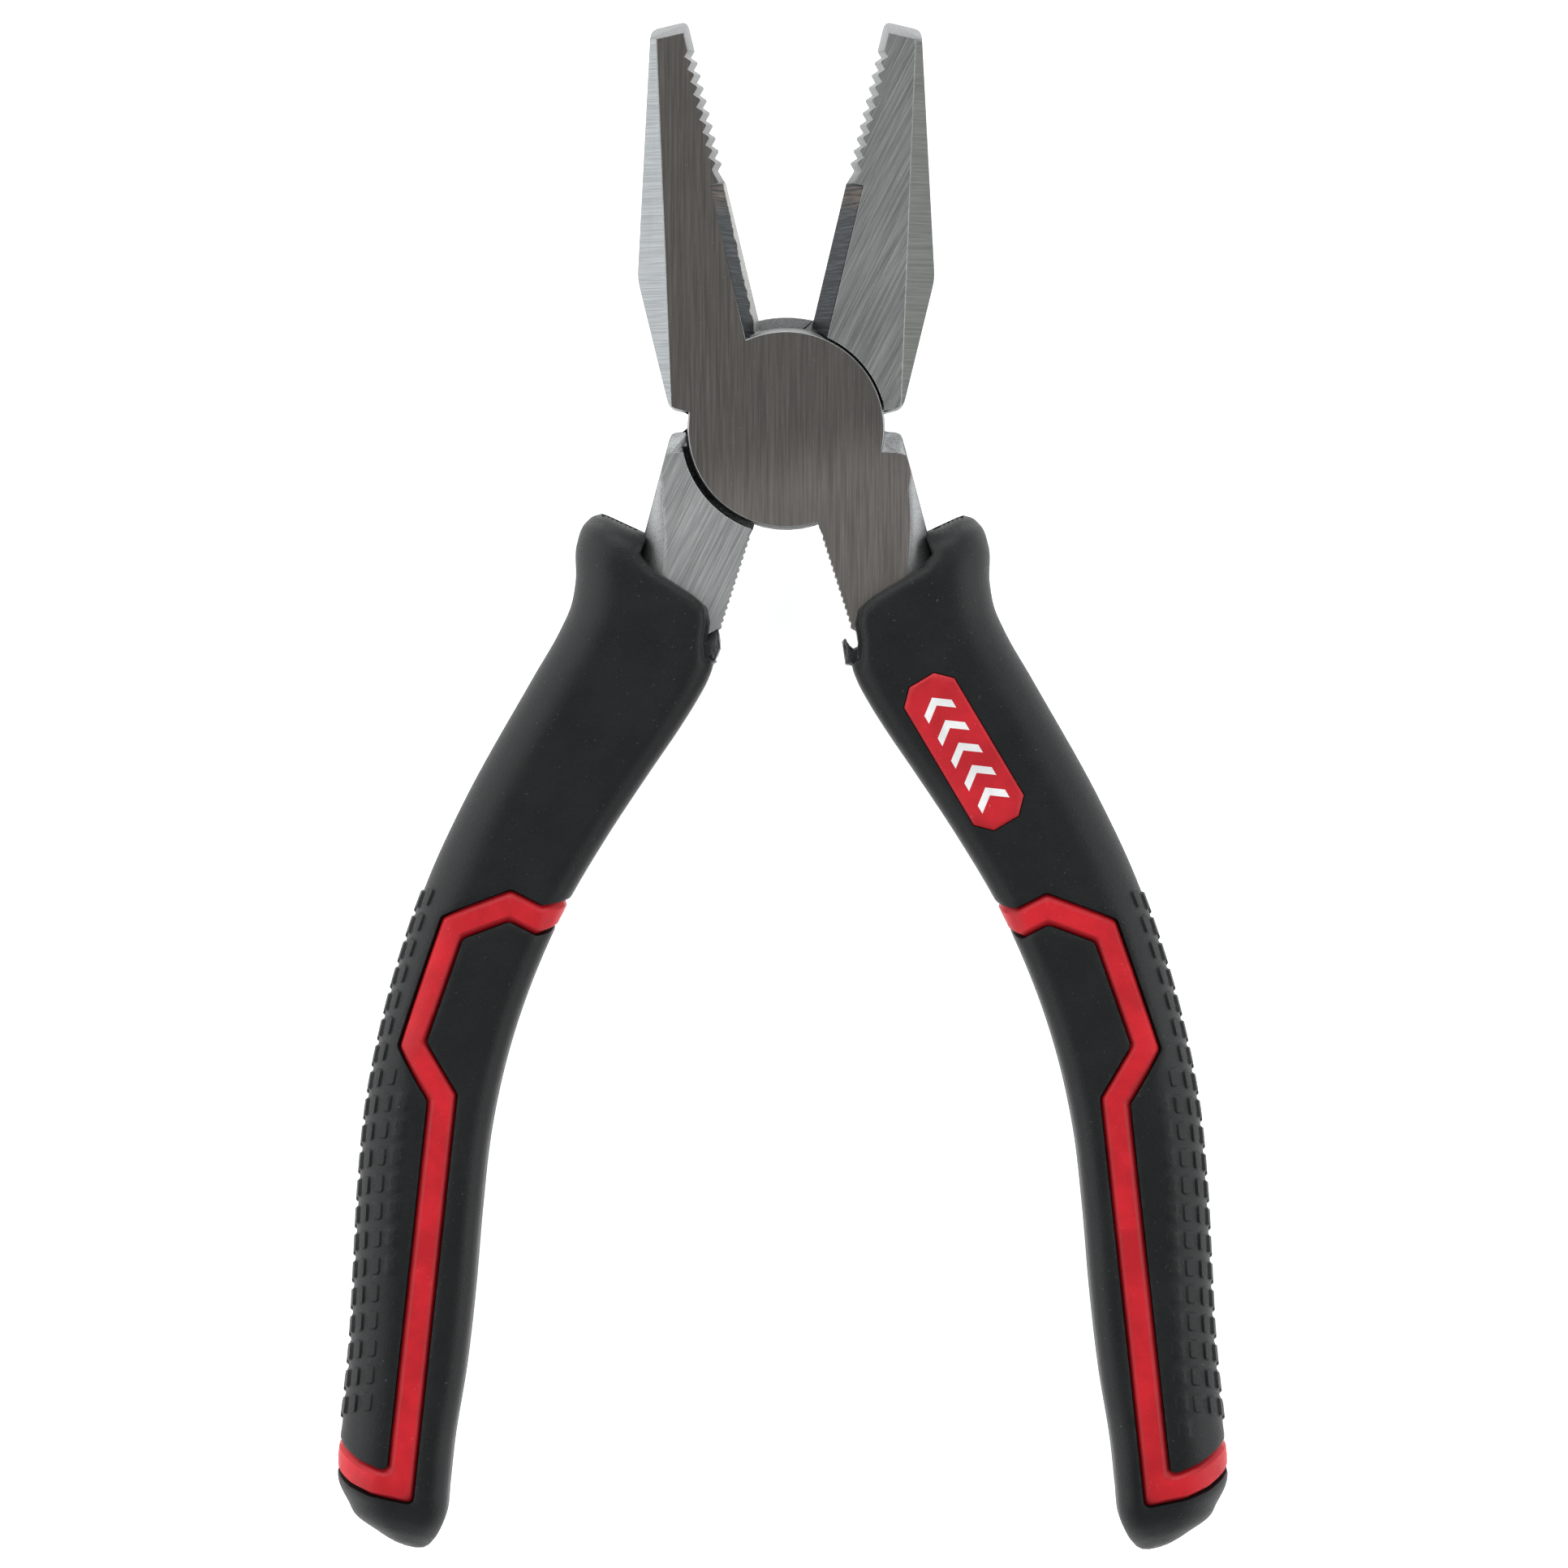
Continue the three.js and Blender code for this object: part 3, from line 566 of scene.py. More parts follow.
def skinLimits(d):
    outer, inner, half = outerEdge(d), innerEdge(d), halfThickness(d)
    roomy = np.minimum(half, np.maximum((outer - inner) / 2 - 0.4, 0.05))
    outerRadius = np.minimum(grip["outerRadius"], roomy)
    innerRadius = np.minimum(grip["innerRadius"], roomy)
    return outer, inner, half, outerRadius, innerRadius


def silhouette(d, side):
    # where the unrolled skin reaches the mid plane, 1 outside and -1 inside
    outer, inner, half, outerRadius, innerRadius = skinLimits(np.asarray(d, float))
    if side > 0:
        return outer - outerRadius + outerRadius * math.pi / 2 + half - outerRadius
    return inner + innerRadius - innerRadius * math.pi / 2 - half + innerRadius


def skinPoint(v, d):
    # v is x on the flat front, and runs on round the edges as the skin is unrolled
    outer, inner, half, outerRadius, innerRadius = skinLimits(d)
    x, z = v.copy(), half.copy()
    for side, edge, radius in ((1, outer, outerRadius), (-1, inner, innerRadius)):
        past = side * (v - (edge - side * radius))
        round_ = past > 0
        safe = np.maximum(radius, 1e-6)
        turn = np.clip(past / safe, 0, math.pi / 2)
        wall = np.maximum(past - safe * math.pi / 2, 0)
        x = np.where(round_, edge - side * radius + side * safe * np.sin(turn), x)
        z = np.where(round_, half - radius + safe * np.cos(turn) - wall, z)
    slope, start, fade = grip["crestFall"]
    fall = slope * np.clip(start - v, 0, 6) * np.clip(1 - d / fade, 0, 1)
    return np.column_stack([x, grip["top"] - d - fall, midPlane + z])


def skinSurface(v, d, lift):
    v, d, lift = (np.asarray(values, float) for values in (v, d, lift))
    small = 0.04
    base = skinPoint(v, d)
    acrossStep = skinPoint(v + small, d) - skinPoint(v - small, d)
    alongStep = skinPoint(v, np.minimum(d + small, grip["length"])) - skinPoint(v, np.maximum(d - small, 0))
    normal = np.cross(alongStep, acrossStep)
    normal /= np.maximum(np.linalg.norm(normal, axis=1), 1e-12)[:, None]
    return base + normal * lift[:, None]


def inFrame(coords, side):
    # from the closed drawing to the open pose, 1 for the right grip and -1 for the left
    placed = coords * mm
    placed[:, 0] *= side
    turn = np.array(Matrix.Rotation(side * openAngle, 3, "Z"))
    return placed @ turn.T


def closedSkin(name, side, halves, materials):
    # outer and inner walls over the front and back, stitched along every free edge
    coords, faces, slots, where, walls = [], [], [], {}, {}

    def vertex(point, key):
        if key is not None and key in where:
            return where[key]
        coords.append(point)
        if key is not None:
            where[key] = len(coords) - 1
        return len(coords) - 1

    edges = {}
    for layer in (0, 1):
        for flip, (points, outside, inside, triangles, marks) in halves.items():
            shell = (outside, inside)[layer].copy()
            seam = np.abs(outside[:, 2] - midPlane) < grip["seam"]
            shell[seam, 2] = midPlane
            if flip < 0:
                shell[:, 2] = 2 * midPlane - shell[:, 2]
            index = []
            for i, point in enumerate(shell):
                key = (layer, round(points[i][0], 2), round(points[i][1], 2)) if seam[i] else None
                index.append(vertex(point, key))
            forward = (flip > 0) == (layer == 0)
            for triangle, mark in zip(triangles, marks):
                corners = [index[k] for k in (triangle if forward else triangle[::-1])]
                if len(set(corners)) < 3:
                    continue
                faces.append(corners)
                slots.append(mark)
                if layer == 0:
                    for a, b in zip(corners, corners[1:] + corners[:1]):
                        edges.setdefault((min(a, b), max(a, b)), []).append((a, b))
            walls[layer, flip] = index
    partner = {}
    for flip in halves:
        partner.update(zip(walls[0, flip], walls[1, flip]))
    for uses in edges.values():
        if len(uses) == 1:
            a, b = uses[0]
            quad = [b, a, partner[a], partner[b]]
            if len(set(quad)) == 4:
                faces.append(quad)
                slots.append(0)
    placed = inFrame(np.array(coords), side)
    if side < 0:
        faces = [face[::-1] for face in faces]
    piece = objectFrom(name, placed, faces, materials, slots)
    work = bmesh.new()
    work.from_mesh(piece.data)
    bmesh.ops.remove_doubles(work, verts=work.verts, dist=grip["weld"] * mm)
    sharing = {}
    for face in work.faces:
        sharing.setdefault(frozenset(face.verts), []).append(face)
    folded = [face for group in sharing.values() if len(group) > 1 for face in group]
    bmesh.ops.delete(work, geom=folded, context="FACES")    # faces back to back on the same corners
    bmesh.ops.recalc_face_normals(work, faces=work.faces)
    work.to_mesh(piece.data)
    work.free()
    shadeSmooth(piece.data, grip["smoothTo"])
    return piece


def thinned(line, gap=0.06):
    kept = [line[0]]
    for point in line[1:]:
        if (Vector(point) - Vector(kept[-1])).length > gap:
            kept.append(point)
    return kept


def meshRegion(border, holes, creases, spacing):
    # a triangulation of the unrolled skin inside border, with every crease kept as edges
    border = thinned([tuple(p) for p in border])
    loops = [border] + [thinned([tuple(p) for p in hole]) for hole in holes]
    points, edges = [], []
    for loop in loops:
        start = len(points)
        points += loop
        edges += [(start + i, start + (i + 1) % len(loop)) for i in range(len(loop))]
    for line, closed in creases:
        start = len(points)
        points += [tuple(p) for p in line]
        last = len(line) if closed else len(line) - 1
        edges += [(start + i, start + (i + 1) % len(line)) for i in range(last)]
    tree = KDTree(len(points))
    for i, point in enumerate(points):
        tree.insert((point[0], point[1], 0), i)
    tree.balance()
    low, high = np.min(border, axis=0), np.max(border, axis=0)
    grid = []
    d, row = low[1], 0
    while d < high[1]:
        near = min(d, grip["length"] - d)
        step = spacing * (0.4 if near < 2.5 else 0.65 if near < 6 else 1)
        v = low[0] + (row % 2) * spacing / 2
        while v < high[0]:
            grid.append((v, d))
            v += spacing
        d += step * 0.866
        row += 1
    grid = np.array(grid)
    keep = insidePolygon(grid, loops[0])
    for hole in loops[1:]:
        keep &= ~insidePolygon(grid, hole)
    for v, d in grid[keep]:
        if tree.find((v, d, 0))[2] > spacing * 0.42:
            points.append((v, d))
    made = delaunay_2d_cdt([Vector(p) for p in points], edges, [], 0, 1e-5)
    found = np.array([tuple(p) for p in made[0]])
    triangles = np.array([tuple(face) for face in made[2]])
    centres = found[triangles].mean(axis=1)
    keep = insidePolygon(centres, loops[0])
    for hole in loops[1:]:
        keep &= ~insidePolygon(centres, hole)
    triangles = triangles[keep]
    used = np.unique(triangles)
    renumber = np.full(len(found), -1)
    renumber[used] = np.arange(len(used))
    return found[used], renumber[triangles], centres[keep]


def clampToSkin(line):
    return [(float(min(max(v, silhouette(d, -1)), silhouette(d, 1))), d) for v, d in line]


def alongSilhouette(side, start, finish, step=0.5):
    count = max(2, int(abs(finish - start) / step))
    stops = [start + (finish - start) * i / count for i in range(count + 1)]
    if min(start, finish) < 1:
        stops = [d for d in stops if d > 1] + [d for d in (1.0, 0.7, 0.45, 0.25, 0.12, 0.04, 0.0)]
    if max(start, finish) > grip["length"] - 1.5:
        end = grip["length"]
        closing = [end - gap for gap in (1.5, 1.1, 0.8, 0.5, 0.3, 0.17, 0.08, 0.0)]
        stops = [d for d in stops if d < end - 1.5] + closing
    stops = sorted(set(stops), reverse=finish < start)
    return [(float(silhouette(d, side)), d) for d in stops]


# texture on the outside of each grip: rows of low rounded scales
scales = {
    "start": 53.5, "end": 119.5, "pitch": 3.4,
    "length": 2.5, "width": 1.7, "corner": 0.5, "slope": 0.24,
    # distance in from the outer silhouette, height, and shift along the grip
    "columns": [
        (1.25, 0.33, 0.0), (3.65, 0.33, -0.6), (6.0, 0.28, -1.2), (8.3, 0.2, -1.9), (10.6, 0.1, -2.5),
    ],
    "firstFrom": 52.0,
    "clearOfBand": 2.1,
}


def scaleList(bandEdge):
    found = []
    edge = np.array([tuple(p) for p in bandEdge])
    for inset, height, shift in scales["columns"]:
        d = scales["start"] + shift
        while d < scales["end"]:
            centre = (float(silhouette(d, 1)) - inset, d)
            slope = float(silhouette(d + 0.5, 1) - silhouette(d - 0.5, 1))
            clear = distanceToLine(np.array([centre]), edge)[0] > scales["clearOfBand"]
            if clear and d > scales["firstFrom"]:
                found.append((centre, height, math.atan(slope)))
            d += scales["pitch"]
    return found


def scaleRing(centre, tilt, inset):
    halfWidth = scales["width"] / 2 - inset
    halfLength = scales["length"] / 2 - inset
    corner = max(scales["corner"] - inset, 0.14)
    ring = []
    for signX, signY, start in ((1, 1, 0), (-1, 1, 90), (-1, -1, 180), (1, -1, 270)):
        for k in range(3):
            angle = math.radians(start + 45 * k)
            x = signX * (halfWidth - corner) + corner * math.cos(angle)
            y = signY * (halfLength - corner) + corner * math.sin(angle)
            ring.append((
                centre[0] + x * math.cos(tilt) + y * math.sin(tilt),
                centre[1] + y * math.cos(tilt) - x * math.sin(tilt),
            ))
    return ring


def scaleLift(points, bumps):
    lift = np.zeros(len(points))
    for centre, height, tilt in bumps:
        offset = points - np.array(centre)
        x = offset[:, 0] * math.cos(tilt) - offset[:, 1] * math.sin(tilt)
        y = offset[:, 0] * math.sin(tilt) + offset[:, 1] * math.cos(tilt)
        qx = np.abs(x) - scales["width"] / 2 + scales["corner"]
        qy = np.abs(y) - scales["length"] / 2 + scales["corner"]
        outside = np.hypot(np.maximum(qx, 0), np.maximum(qy, 0)) + np.minimum(np.maximum(qx, qy), 0)
        rise = np.clip((scales["corner"] - outside) / scales["slope"], 0, 1)
        lift = np.maximum(lift, height * rise)
    return lift


badge = {
    "centre": (12.85, 29.2), "length": 21.0, "width": 7.4, "corner": 1.9, "tilt": 17.3,
    "proud": 0.12, "rim": 0.35, "gap": 0.1, "depth": 0.9,
    "chevrons": 5, "chevronPitch": 3.3, "chevronSpan": 2.0, "chevronRise": 1.5, "chevronWidth": 1.15,
}


def badgePoint(x, y):
    # from the badge's own axes, y towards the jaws, to the unrolled skin
    tilt = math.radians(badge["tilt"])
    return (
        badge["centre"][0] + x * math.cos(tilt) - y * math.sin(tilt),
        badge["centre"][1] - x * math.sin(tilt) - y * math.cos(tilt),
    )


def badgeRing(grow):
    halfWidth = badge["width"] / 2 + grow
    halfLength = badge["length"] / 2 + grow
    cut = badge["corner"] + grow * 0.41
    corners = []
    for signX, signY in ((1, 1), (-1, 1), (-1, -1), (1, -1)):
        upright = (signX * halfWidth, signY * (halfLength - cut))
        level = (signX * (halfWidth - cut), signY * halfLength)
        corners += [upright, level] if signX * signY > 0 else [level, upright]
    ring = []
    for i, corner in enumerate(corners):
        after = corners[(i + 1) % len(corners)]
        count = max(2, int(math.dist(corner, after) / 0.6))
        for k in range(count):
            share = k / count
            ring.append(badgePoint(
                corner[0] + (after[0] - corner[0]) * share,
                corner[1] + (after[1] - corner[1]) * share,
            ))
    return ring


def chevronRing(i):
    middle = (i - (badge["chevrons"] - 1) / 2) * badge["chevronPitch"]
    span, rise, width = badge["chevronSpan"], badge["chevronRise"], badge["chevronWidth"]
    low = middle - (rise + width) / 2
    shape = [
        (-span, low), (0, low + rise), (span, low),
        (span, low + width), (0, low + rise + width), (-span, low + width),
    ]
    return [badgePoint(x, y) for x, y in shape]


def wallThickness(d):
    return np.minimum(grip["wall"], 0.42 * halfThickness(d))


def skinHalf(points, triangles, lift, shift, thickness=None, marks=None):
    v, d = points[:, 0], points[:, 1]
    thickness = wallThickness(d) if thickness is None else np.full(len(d), thickness)
    outside = skinSurface(v, d, lift)
    inside = skinSurface(v, d, -thickness)
    outside[:, 0] += shift
    inside[:, 0] += shift
    marks = np.zeros(len(triangles), int) if marks is None else marks
    return (points, outside, inside, triangles, marks)


def bandLane(shift, across, runs):
    corners = [(v + shift, d) for v, d in band["line"]]
    return clampToSkin(roundedLine(parallelCorners(corners, across), band["corner"], runs))


def bandPiece(name, side, lanes, shift, looks):
    rows = [skinSurface(v, d, depth) for v, d, depth in lanes]
    front = np.array(rows).transpose(1, 0, 2)
    front[..., 0] += shift
    back = front.copy()
    back[..., 2] = 2 * midPlane - back[..., 2]
    loop = np.concatenate([front, back[::-1]])
    rows, across = loop.shape[:2]
    faces, slots = [], []
    flatFrom, flatTo = 3, len(band["profile"]) - 4
    onSeam = np.abs(loop[..., 2].ravel() - midPlane) < 0.001
    for i in range(rows):
        for j in range(across):
            after, beside = (i + 1) % rows, (j + 1) % across
            corners = [i * across + j, after * across + j, after * across + beside, i * across + beside]
            if onSeam[corners].all():   # front and back would lie on each other here
                continue
            faces.append(corners)
            # the slope faces take the darker red slot, painted shade for the shade in the grooves beside the
            # band
            slots.append(0 if flatFrom <= j < flatTo else 1)
    placed = inFrame(loop.reshape(-1, 3), side)
    piece = objectFrom(name, placed, faces, [looks["red"], looks["shadedRed"]], slots)
    work = bmesh.new()
    work.from_mesh(piece.data)
    bmesh.ops.remove_doubles(work, verts=work.verts, dist=band["weld"] * mm)
    bmesh.ops.dissolve_degenerate(work, edges=work.edges, dist=grip["weld"] * mm)
    bmesh.ops.recalc_face_normals(work, faces=work.faces)
    work.to_mesh(piece.data)
    work.free()
    shadeSmooth(piece.data, band["smoothTo"])
    return piece


def fillMouth(inside, points, fromMouth):
    # near the mouth the wall thickens until its end sits on the steel
    near = np.clip(1 - fromMouth / grip["mouthFill"], 0, 1)
    bare = skinPoint(points[:, 0], points[:, 1])
    edge, width = grip["shankEdge"]
    past = np.clip((bare[:, 0] - edge) / width, 0, 1)
    target = np.maximum((midPlane + 0.1) * np.sqrt(1 - past ** 2), 0.12)
    inside[:, :2] += (bare[:, :2] - inside[:, :2]) * near[:, None]
    height = inside[:, 2] - midPlane
    inside[:, 2] = midPlane + np.minimum(height, height + (target - height) * near)


def gripPieces(hand, side, body, hasBadge, looks):
    shift = -side * grip["offset"]
    bandShift = -side * band["offset"]
    runs = runCounts(band["line"], 0.9)
    reach = band["width"] / 2 + band["gap"]
    upper = bandLane(bandShift, reach, runs)
    lower = bandLane(bandShift, -reach, runs)
    edge, depth = band["width"] / 2, -band["depth"]
    across = band["profile"] + [(-edge, depth), (edge, depth)]
    lanes = []
    for q, depth in across:
        lane = np.array(bandLane(bandShift, q, runs))
        lanes.append((lane[:, 0], lane[:, 1], np.full(len(lane), depth)))

    # the guard meets the steel in the same place on both sides
    toSteel = 2 * grip["offset"] if side < 0 else 0
    mouthLine = [(v - toSteel * min(max((v - 9) / 4, 0), 1), d) for v, d in grip["mouth"]]
    mouthRuns = runCounts(mouthLine, 0.5)
    mouth = clampToSkin(roundedLine(mouthLine, grip["mouthCorner"], mouthRuns))
    bumps = scaleList(upper)
    outerBorder = upper + alongSilhouette(1, upper[-1][1], 0.0)[1:]
    outerBorder += mouth + alongSilhouette(-1, mouth[-1][1], upper[0][1])[1:-1]
    innerBorder = lower + alongSilhouette(1, lower[-1][1], grip["length"])[1:]
    innerBorder += alongSilhouette(-1, grip["length"], lower[0][1])[1:-1]
    creases = []
    for centre, height, tilt in bumps:
        creases.append((scaleRing(centre, tilt, 0.0), True))
        creases.append((scaleRing(centre, tilt, scales["slope"]), True))
    rounding = []
    for inset in grip["mouthRows"]:
        beside = roundedLine(parallelCorners(mouthLine, inset), grip["mouthCorner"], mouthRuns)
        rounding.append((clampToSkin(beside), False))

    def outerHalf(withBadge):
        holes = [badgeRing(badge["gap"])] if withBadge else []
        points, triangles, _ = meshRegion(outerBorder, holes, creases + rounding, grip["spacing"])
        fromMouth = distanceToLine(points, np.array(mouth))
        share = np.minimum(fromMouth / grip["mouthRound"], 1)
        lift = -grip["mouthDrop"] * (1 - np.sqrt(1 - (1 - share) ** 2))
        lift *= np.clip((points[:, 1] + 0.2) / 3.0, 0, 1)      # less at the crest and at the inner end
        lift *= np.clip((points[:, 0] + 1) / 4, 0.15, 1)
        lift += bandEdgeLift(points, upper)
        lift += scaleLift(points, bumps)
        half = skinHalf(points, triangles, lift, shift)
        inside = half[2]
        inside[:, 0] -= shift
        fillMouth(inside, points, fromMouth)
        inside[:, 0] += shift
        return half

    def innerHalf():
        points, triangles, _ = meshRegion(innerBorder, [], [], grip["spacing"])
        return skinHalf(points, triangles, bandEdgeLift(points, lower), shift)

    plain = outerHalf(False)
    front = outerHalf(True) if hasBadge else plain
    inner = innerHalf()
    black = [looks["black"]]
    pieces = {
        "outer_shell": closedSkin(hand + "_grip_outer_skin", side, {1: front, -1: plain}, black),
        "inner_shell": closedSkin(hand + "_grip_inner_skin", side, {1: inner, -1: inner}, black),
        "band": bandPiece(hand + "_grip_red_band", side, lanes, shift, looks),
    }
    if hasBadge:
        pieces["badge"] = badgePiece(hand + "_grip_red_badge", side, shift, looks)
    for part, piece in pieces.items():
        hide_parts(hand + "_grip_" + part)
        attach(piece, body)


def bandEdgeLift(points, edge):
    # the rubber rolls over slightly where it meets the band
    share = np.minimum(distanceToLine(points, np.array(edge)) / 0.3, 1)
    return -0.1 * (1 - share) ** 2


def badgePiece(name, side, shift, looks):
    outline = badgeRing(0)
    rim = badgeRing(-badge["rim"])
    chevrons = [chevronRing(i) for i in range(badge["chevrons"])]
    creases = [(rim, True)] + [(ring, True) for ring in chevrons]
    points, triangles, centres = meshRegion(outline, [], creases, 0.7)
    fromEdge = np.minimum(distanceToLine(points, np.array(outline + outline[:1])) / badge["rim"], 1)
    lift = badge["proud"] - (1 - fromEdge) * (badge["proud"] + 0.12)
    marks = np.zeros(len(triangles), int)
    for ring in chevrons:
        marks[insidePolygon(centres, ring)] = 1
    half = skinHalf(points, triangles, lift, shift, badge["depth"], marks)
    return closedSkin(name, side, {1: half}, [looks["badgeRed"], looks["white"]])


def plasticFinish(name, tone, speckTone, roughness, grain, specular):
    finish = Finish(name, tone[:3], roughness)
    finish.put(finish.shader.inputs["Specular IOR Level"], specular)
    coords = finish.value("ShaderNodeTexCoord", 3)
    at = finish.node("ShaderNodeSeparateXYZ", None, {0: coords})
    z = Value(finish, at.outputs[2]) * (1 / mm)
    fine = finish.noise(coords, 3.6 / mm, 2.0, 0.6)
    broad = finish.noise(coords, 0.16 / mm, 3.0, 0.6)
    specks = finish.noise(coords, 2.7 / mm, 1.0, 0.4).ramp(0.735, 0.80)
    scuffs = finish.noise(coords, 0.5 / mm, 5.0, 0.75).ramp(0.62, 0.8)
    shade = finish.mixColour(broad.ramp(0.35, 0.7), scaled(tone, 0.88), scaled(tone, 1.15))
    shade = finish.mixColour(scuffs * 0.3, shade, scaled(tone, 1.5))
    shade = finish.mixColour(specks * 0.45, shade, speckTone)
    finish.colour(shade)
    finish.rough(roughness + (fine - 0.5) * 0.25 + (broad - 0.5) * 0.12)
    parting = 1 - abs(z - midPlane).ramp(0.05, 0.16)    # the mould's parting line
    finish.bumps(fine - parting * 1.6, grain * mm, 0.8)
    return finish.material


# name, tone, tone of the specks, roughness, depth of the grain, specular level
plastics = {
    "black": ("grip black", (0.0078, 0.0086, 0.0088, 1), (0.10, 0.10, 0.10, 1), 0.5, 0.06, 0.28),
    "red": ("grip red", (0.53, 0.011, 0.019, 1), (0.72, 0.12, 0.13, 1), 0.5, 0.03, 0.3),
    # the slope red is a darker copy of the band red: painted shade on the band's sloping sides
    "shadedRed": ("grip red slopes painted shade", (0.42, 0.008, 0.014, 1), (0.4, 0.03, 0.04, 1), 0.5, 0.03, 0.3),
    "badgeRed": ("badge red", (0.48, 0.012, 0.020, 1), (0.6, 0.12, 0.13, 1), 0.5, 0.03, 0.3),
    "white": ("badge white", (0.78, 0.78, 0.77, 1), (0.85, 0.85, 0.85, 1), 0.45, 0.02, 0.5),
}
gripLooks = {key: plasticFinish(*values) for key, values in plastics.items()}
gripPieces("right", 1, "front_body", True, gripLooks)
gripPieces("left", -1, "back_body", False, gripLooks)
print("grips made")

sleeveLip = {
    # outline of the tongue beside the shank, as x and the distance below the crest
    "left": [(3.6, 10.7), (2.1, 10.75), (1.75, 11.6), (1.3, 13.1), (1.6, 15.1), (3.6, 15.8)],
    "right": [
        (3.6, 13.0), (2.2, 13.3), (1.85, 12.7), (1.5, 11.8), (1.2, 12.0), (0.95, 14.9), (2.0, 15.4),
        (3.6, 15.8),
    ],
    "halfThickness": 4.7,
    "roundOver": 0.7,
    "endShrink": 0.35,
    "ragged": 0.16,
    "step": 0.25,
    "levels": 35,
    "smoothTo": 40,
}


def lipMesh(hand, side):
    # a torn tongue of moulding, closed all round
    corners = [Vector(corner) for corner in sleeveLip[hand]]
    outline = []
    for i, corner in enumerate(corners):
        after = corners[(i + 1) % len(corners)]
        count = max(2, round((after - corner).length / sleeveLip["step"]))
        outline += [corner.lerp(after, k / count) for k in range(count)]
    middle = sum(outline, Vector((0, 0))) / len(outline)
    half, turnOver = sleeveLip["halfThickness"], sleeveLip["roundOver"]
    coords, faces = [], []
    levels = np.linspace(-half, half, sleeveLip["levels"])
    for level in levels:
        past = max(abs(level) - half + turnOver, 0) / turnOver
        shrink = 1 - sleeveLip["endShrink"] * (1 - math.sqrt(max(1 - past ** 2, 0)))
        for spot in outline:
            at = middle + (spot - middle) * shrink
            rough = noise.noise(Vector((at.x * 1.7, at.y * 1.7, level * 1.3))) * sleeveLip["ragged"]
            coords.append((at.x + rough, grip["top"] - at.y + rough * 0.7, midPlane + level + rough))
    count = len(outline)
    for row in range(len(levels) - 1):
        low, high = row * count, (row + 1) * count
        for i in range(count):
            beside = (i + 1) % count
            faces.append((low + i, low + beside, high + beside, high + i))
    faces.append(tuple(range(count))[::-1])
    faces.append(tuple(range((len(levels) - 1) * count, len(levels) * count)))
    placed = np.array(coords)
    placed[:, 0] -= side * grip["offset"]
    mesh = bpy.data.meshes.new(hand + "_lip")
    mesh.from_pydata([tuple(c) for c in inFrame(placed, side)], [], faces)
    return mesh


sleeveTone, sleeveSpecks = (0.022, 0.023, 0.024, 1), (0.20, 0.20, 0.20, 1)
sleeveBlack = plasticFinish("sleeve black", sleeveTone, sleeveSpecks, 0.36, 0.09, 0.5)
for hand, side, body in (("right", 1, "front_body"), ("left", -1, "back_body")):
    node = hand + "_grip_sleeve"
    work = bmesh.new()
    work.from_mesh(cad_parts[node].data)
    work.from_mesh(lipMesh(hand, side))
    bmesh.ops.recalc_face_normals(work, faces=work.faces)
    mesh = bpy.data.meshes.new(node + "_moulding")
    work.to_mesh(mesh)
    work.free()
    mesh.materials.clear()
    mesh.materials.append(sleeveBlack)
    shadeSmooth(mesh, sleeveLip["smoothTo"])
    sleeve = addObject(node + "_moulding", mesh)
    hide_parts(node)
    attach(sleeve, body)
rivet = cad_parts["pivot_rivet"]
rivet.data.materials.clear()
rivet.data.materials.append(backSteel)
print("sleeves and rivet finished")


studio = {
    "sensor": 36,
    "cameraHeight": 1.46,
    "viewCentre": (-0.27 * mm, -44.9 * mm),
    "viewWidth": 199.0 * mm,
    "focusHeight": 7 * mm,
    "floorTone": (0.86, 0.86, 0.86),
    "floorGlow": 0.82,
    "floorReach": 3.0,
    "floorDrop": 0.2 * mm,
    "skyColour": (0.93, 0.96, 1.0, 1),
    "skyFade": (0.1, 0.85),
    "skyStrength": (0.92, 0.21),
    "aim": (0, -0.04, 0),
    # place, size and power of each lamp
    "lamps": {
        "left box": ((-0.8, 0.05, 0.45), (1.3, 1.0), 6.8),
        "top box": ((-0.05, 0.85, 0.55), (0.9, 0.6), 6),
        "right box": ((0.85, -0.05, 0.5), (0.9, 0.8), 5),
    },
}


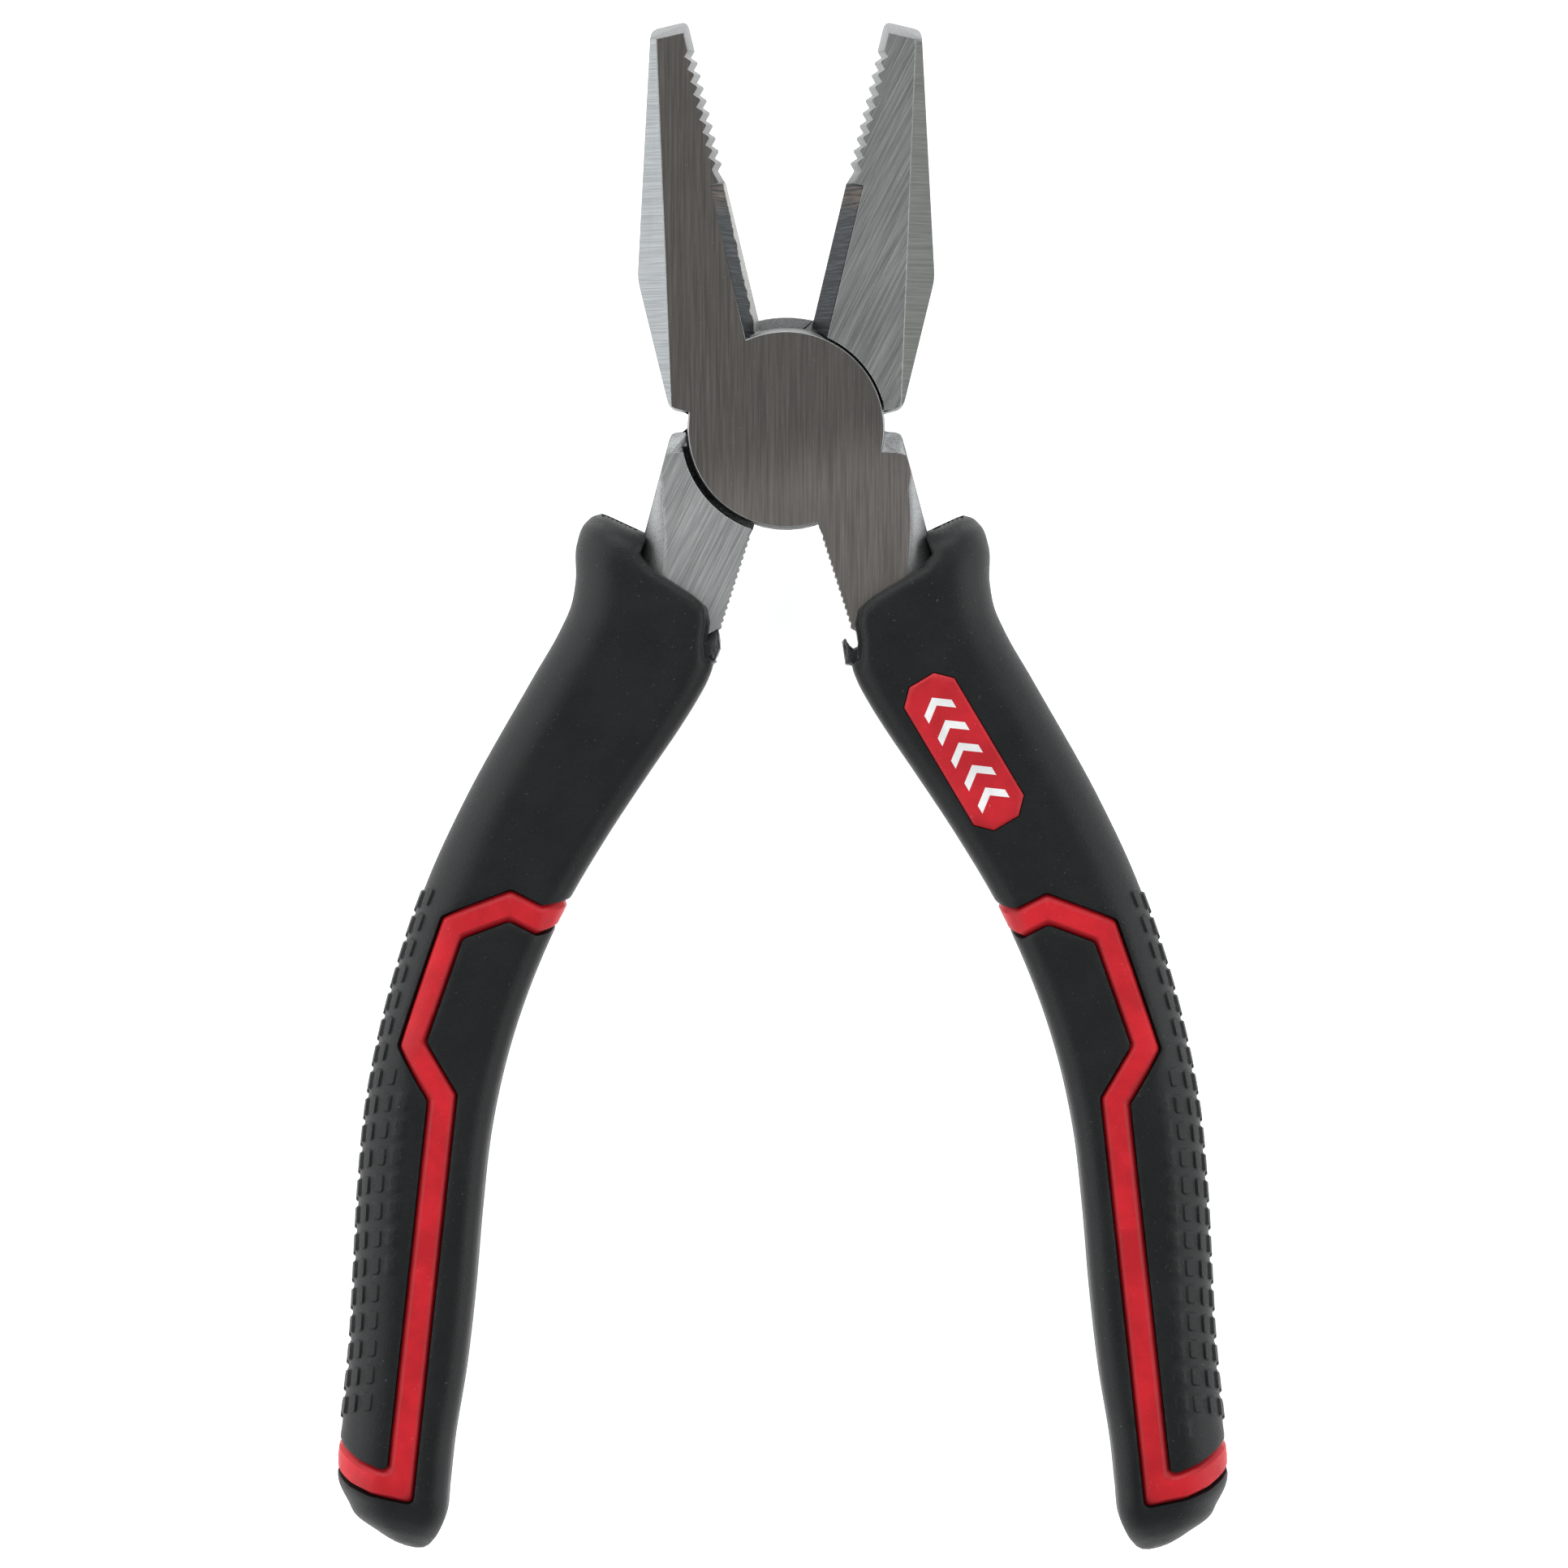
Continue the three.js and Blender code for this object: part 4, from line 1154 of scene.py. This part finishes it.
def softbox(name, place, size, power):
    data = bpy.data.lights.new(name, "AREA")
    data.shape = "RECTANGLE"
    data.size, data.size_y = size
    data.energy = power
    lamp = addObject(name, data)
    lamp.location = place
    lamp.rotation_mode = "QUATERNION"
    lamp.rotation_quaternion = (Vector(studio["aim"]) - Vector(place)).to_track_quat("-Z", "Y")


def makeCamera():
    data = bpy.data.cameras.new("camera")
    data.sensor_width = studio["sensor"]
    distance = studio["cameraHeight"] - studio["focusHeight"]
    data.lens = data.sensor_width * distance / studio["viewWidth"]
    data.clip_start, data.clip_end = 0.05, 20
    camera = addObject("camera", data)
    camera.location = (*studio["viewCentre"], studio["cameraHeight"])
    bpy.context.scene.camera = camera


def makeFloor():
    low = cadBox[0].z - studio["floorDrop"]
    reach = studio["floorReach"]
    corners = [(-reach, -reach, low), (reach, -reach, low), (reach, reach, low), (-reach, reach, low)]
    mesh = bpy.data.meshes.new("floor")
    mesh.from_pydata(corners, [], [(0, 1, 2, 3)])
    finish = Finish("pale floor", studio["floorTone"], 0.9)
    finish.put(finish.shader.inputs["Emission Color"], (1, 1, 1, 1))
    finish.put(finish.shader.inputs["Emission Strength"], studio["floorGlow"])
    mesh.materials.append(finish.material)
    addObject("floor", mesh)


def makeSky():
    world = bpy.data.worlds.new("studio")
    world.use_nodes = True
    sky = Nodes(world.node_tree)
    coords = sky.value("ShaderNodeTexCoord", "Generated")
    height = sky.value("ShaderNodeSeparateXYZ", "Z", None, {0: coords})
    fadeFrom, fadeTo = studio["skyFade"]
    low, high = studio["skyStrength"]
    strength = sky.value("ShaderNodeMapRange", "Result", None, {
        "Value": height, "From Min": fadeFrom, "From Max": fadeTo, "To Min": low, "To Max": high,
    })
    background = sky.tree.nodes["Background"]
    sky.put(background.inputs["Color"], studio["skyColour"])
    sky.put(background.inputs["Strength"], strength)
    bpy.context.scene.world = world
    bpy.context.scene.view_settings.view_transform = "Standard"


makeCamera()
makeFloor()
makeSky()
for name, (place, size, power) in studio["lamps"].items():
    softbox(name, place, size, power)
print("studio made")
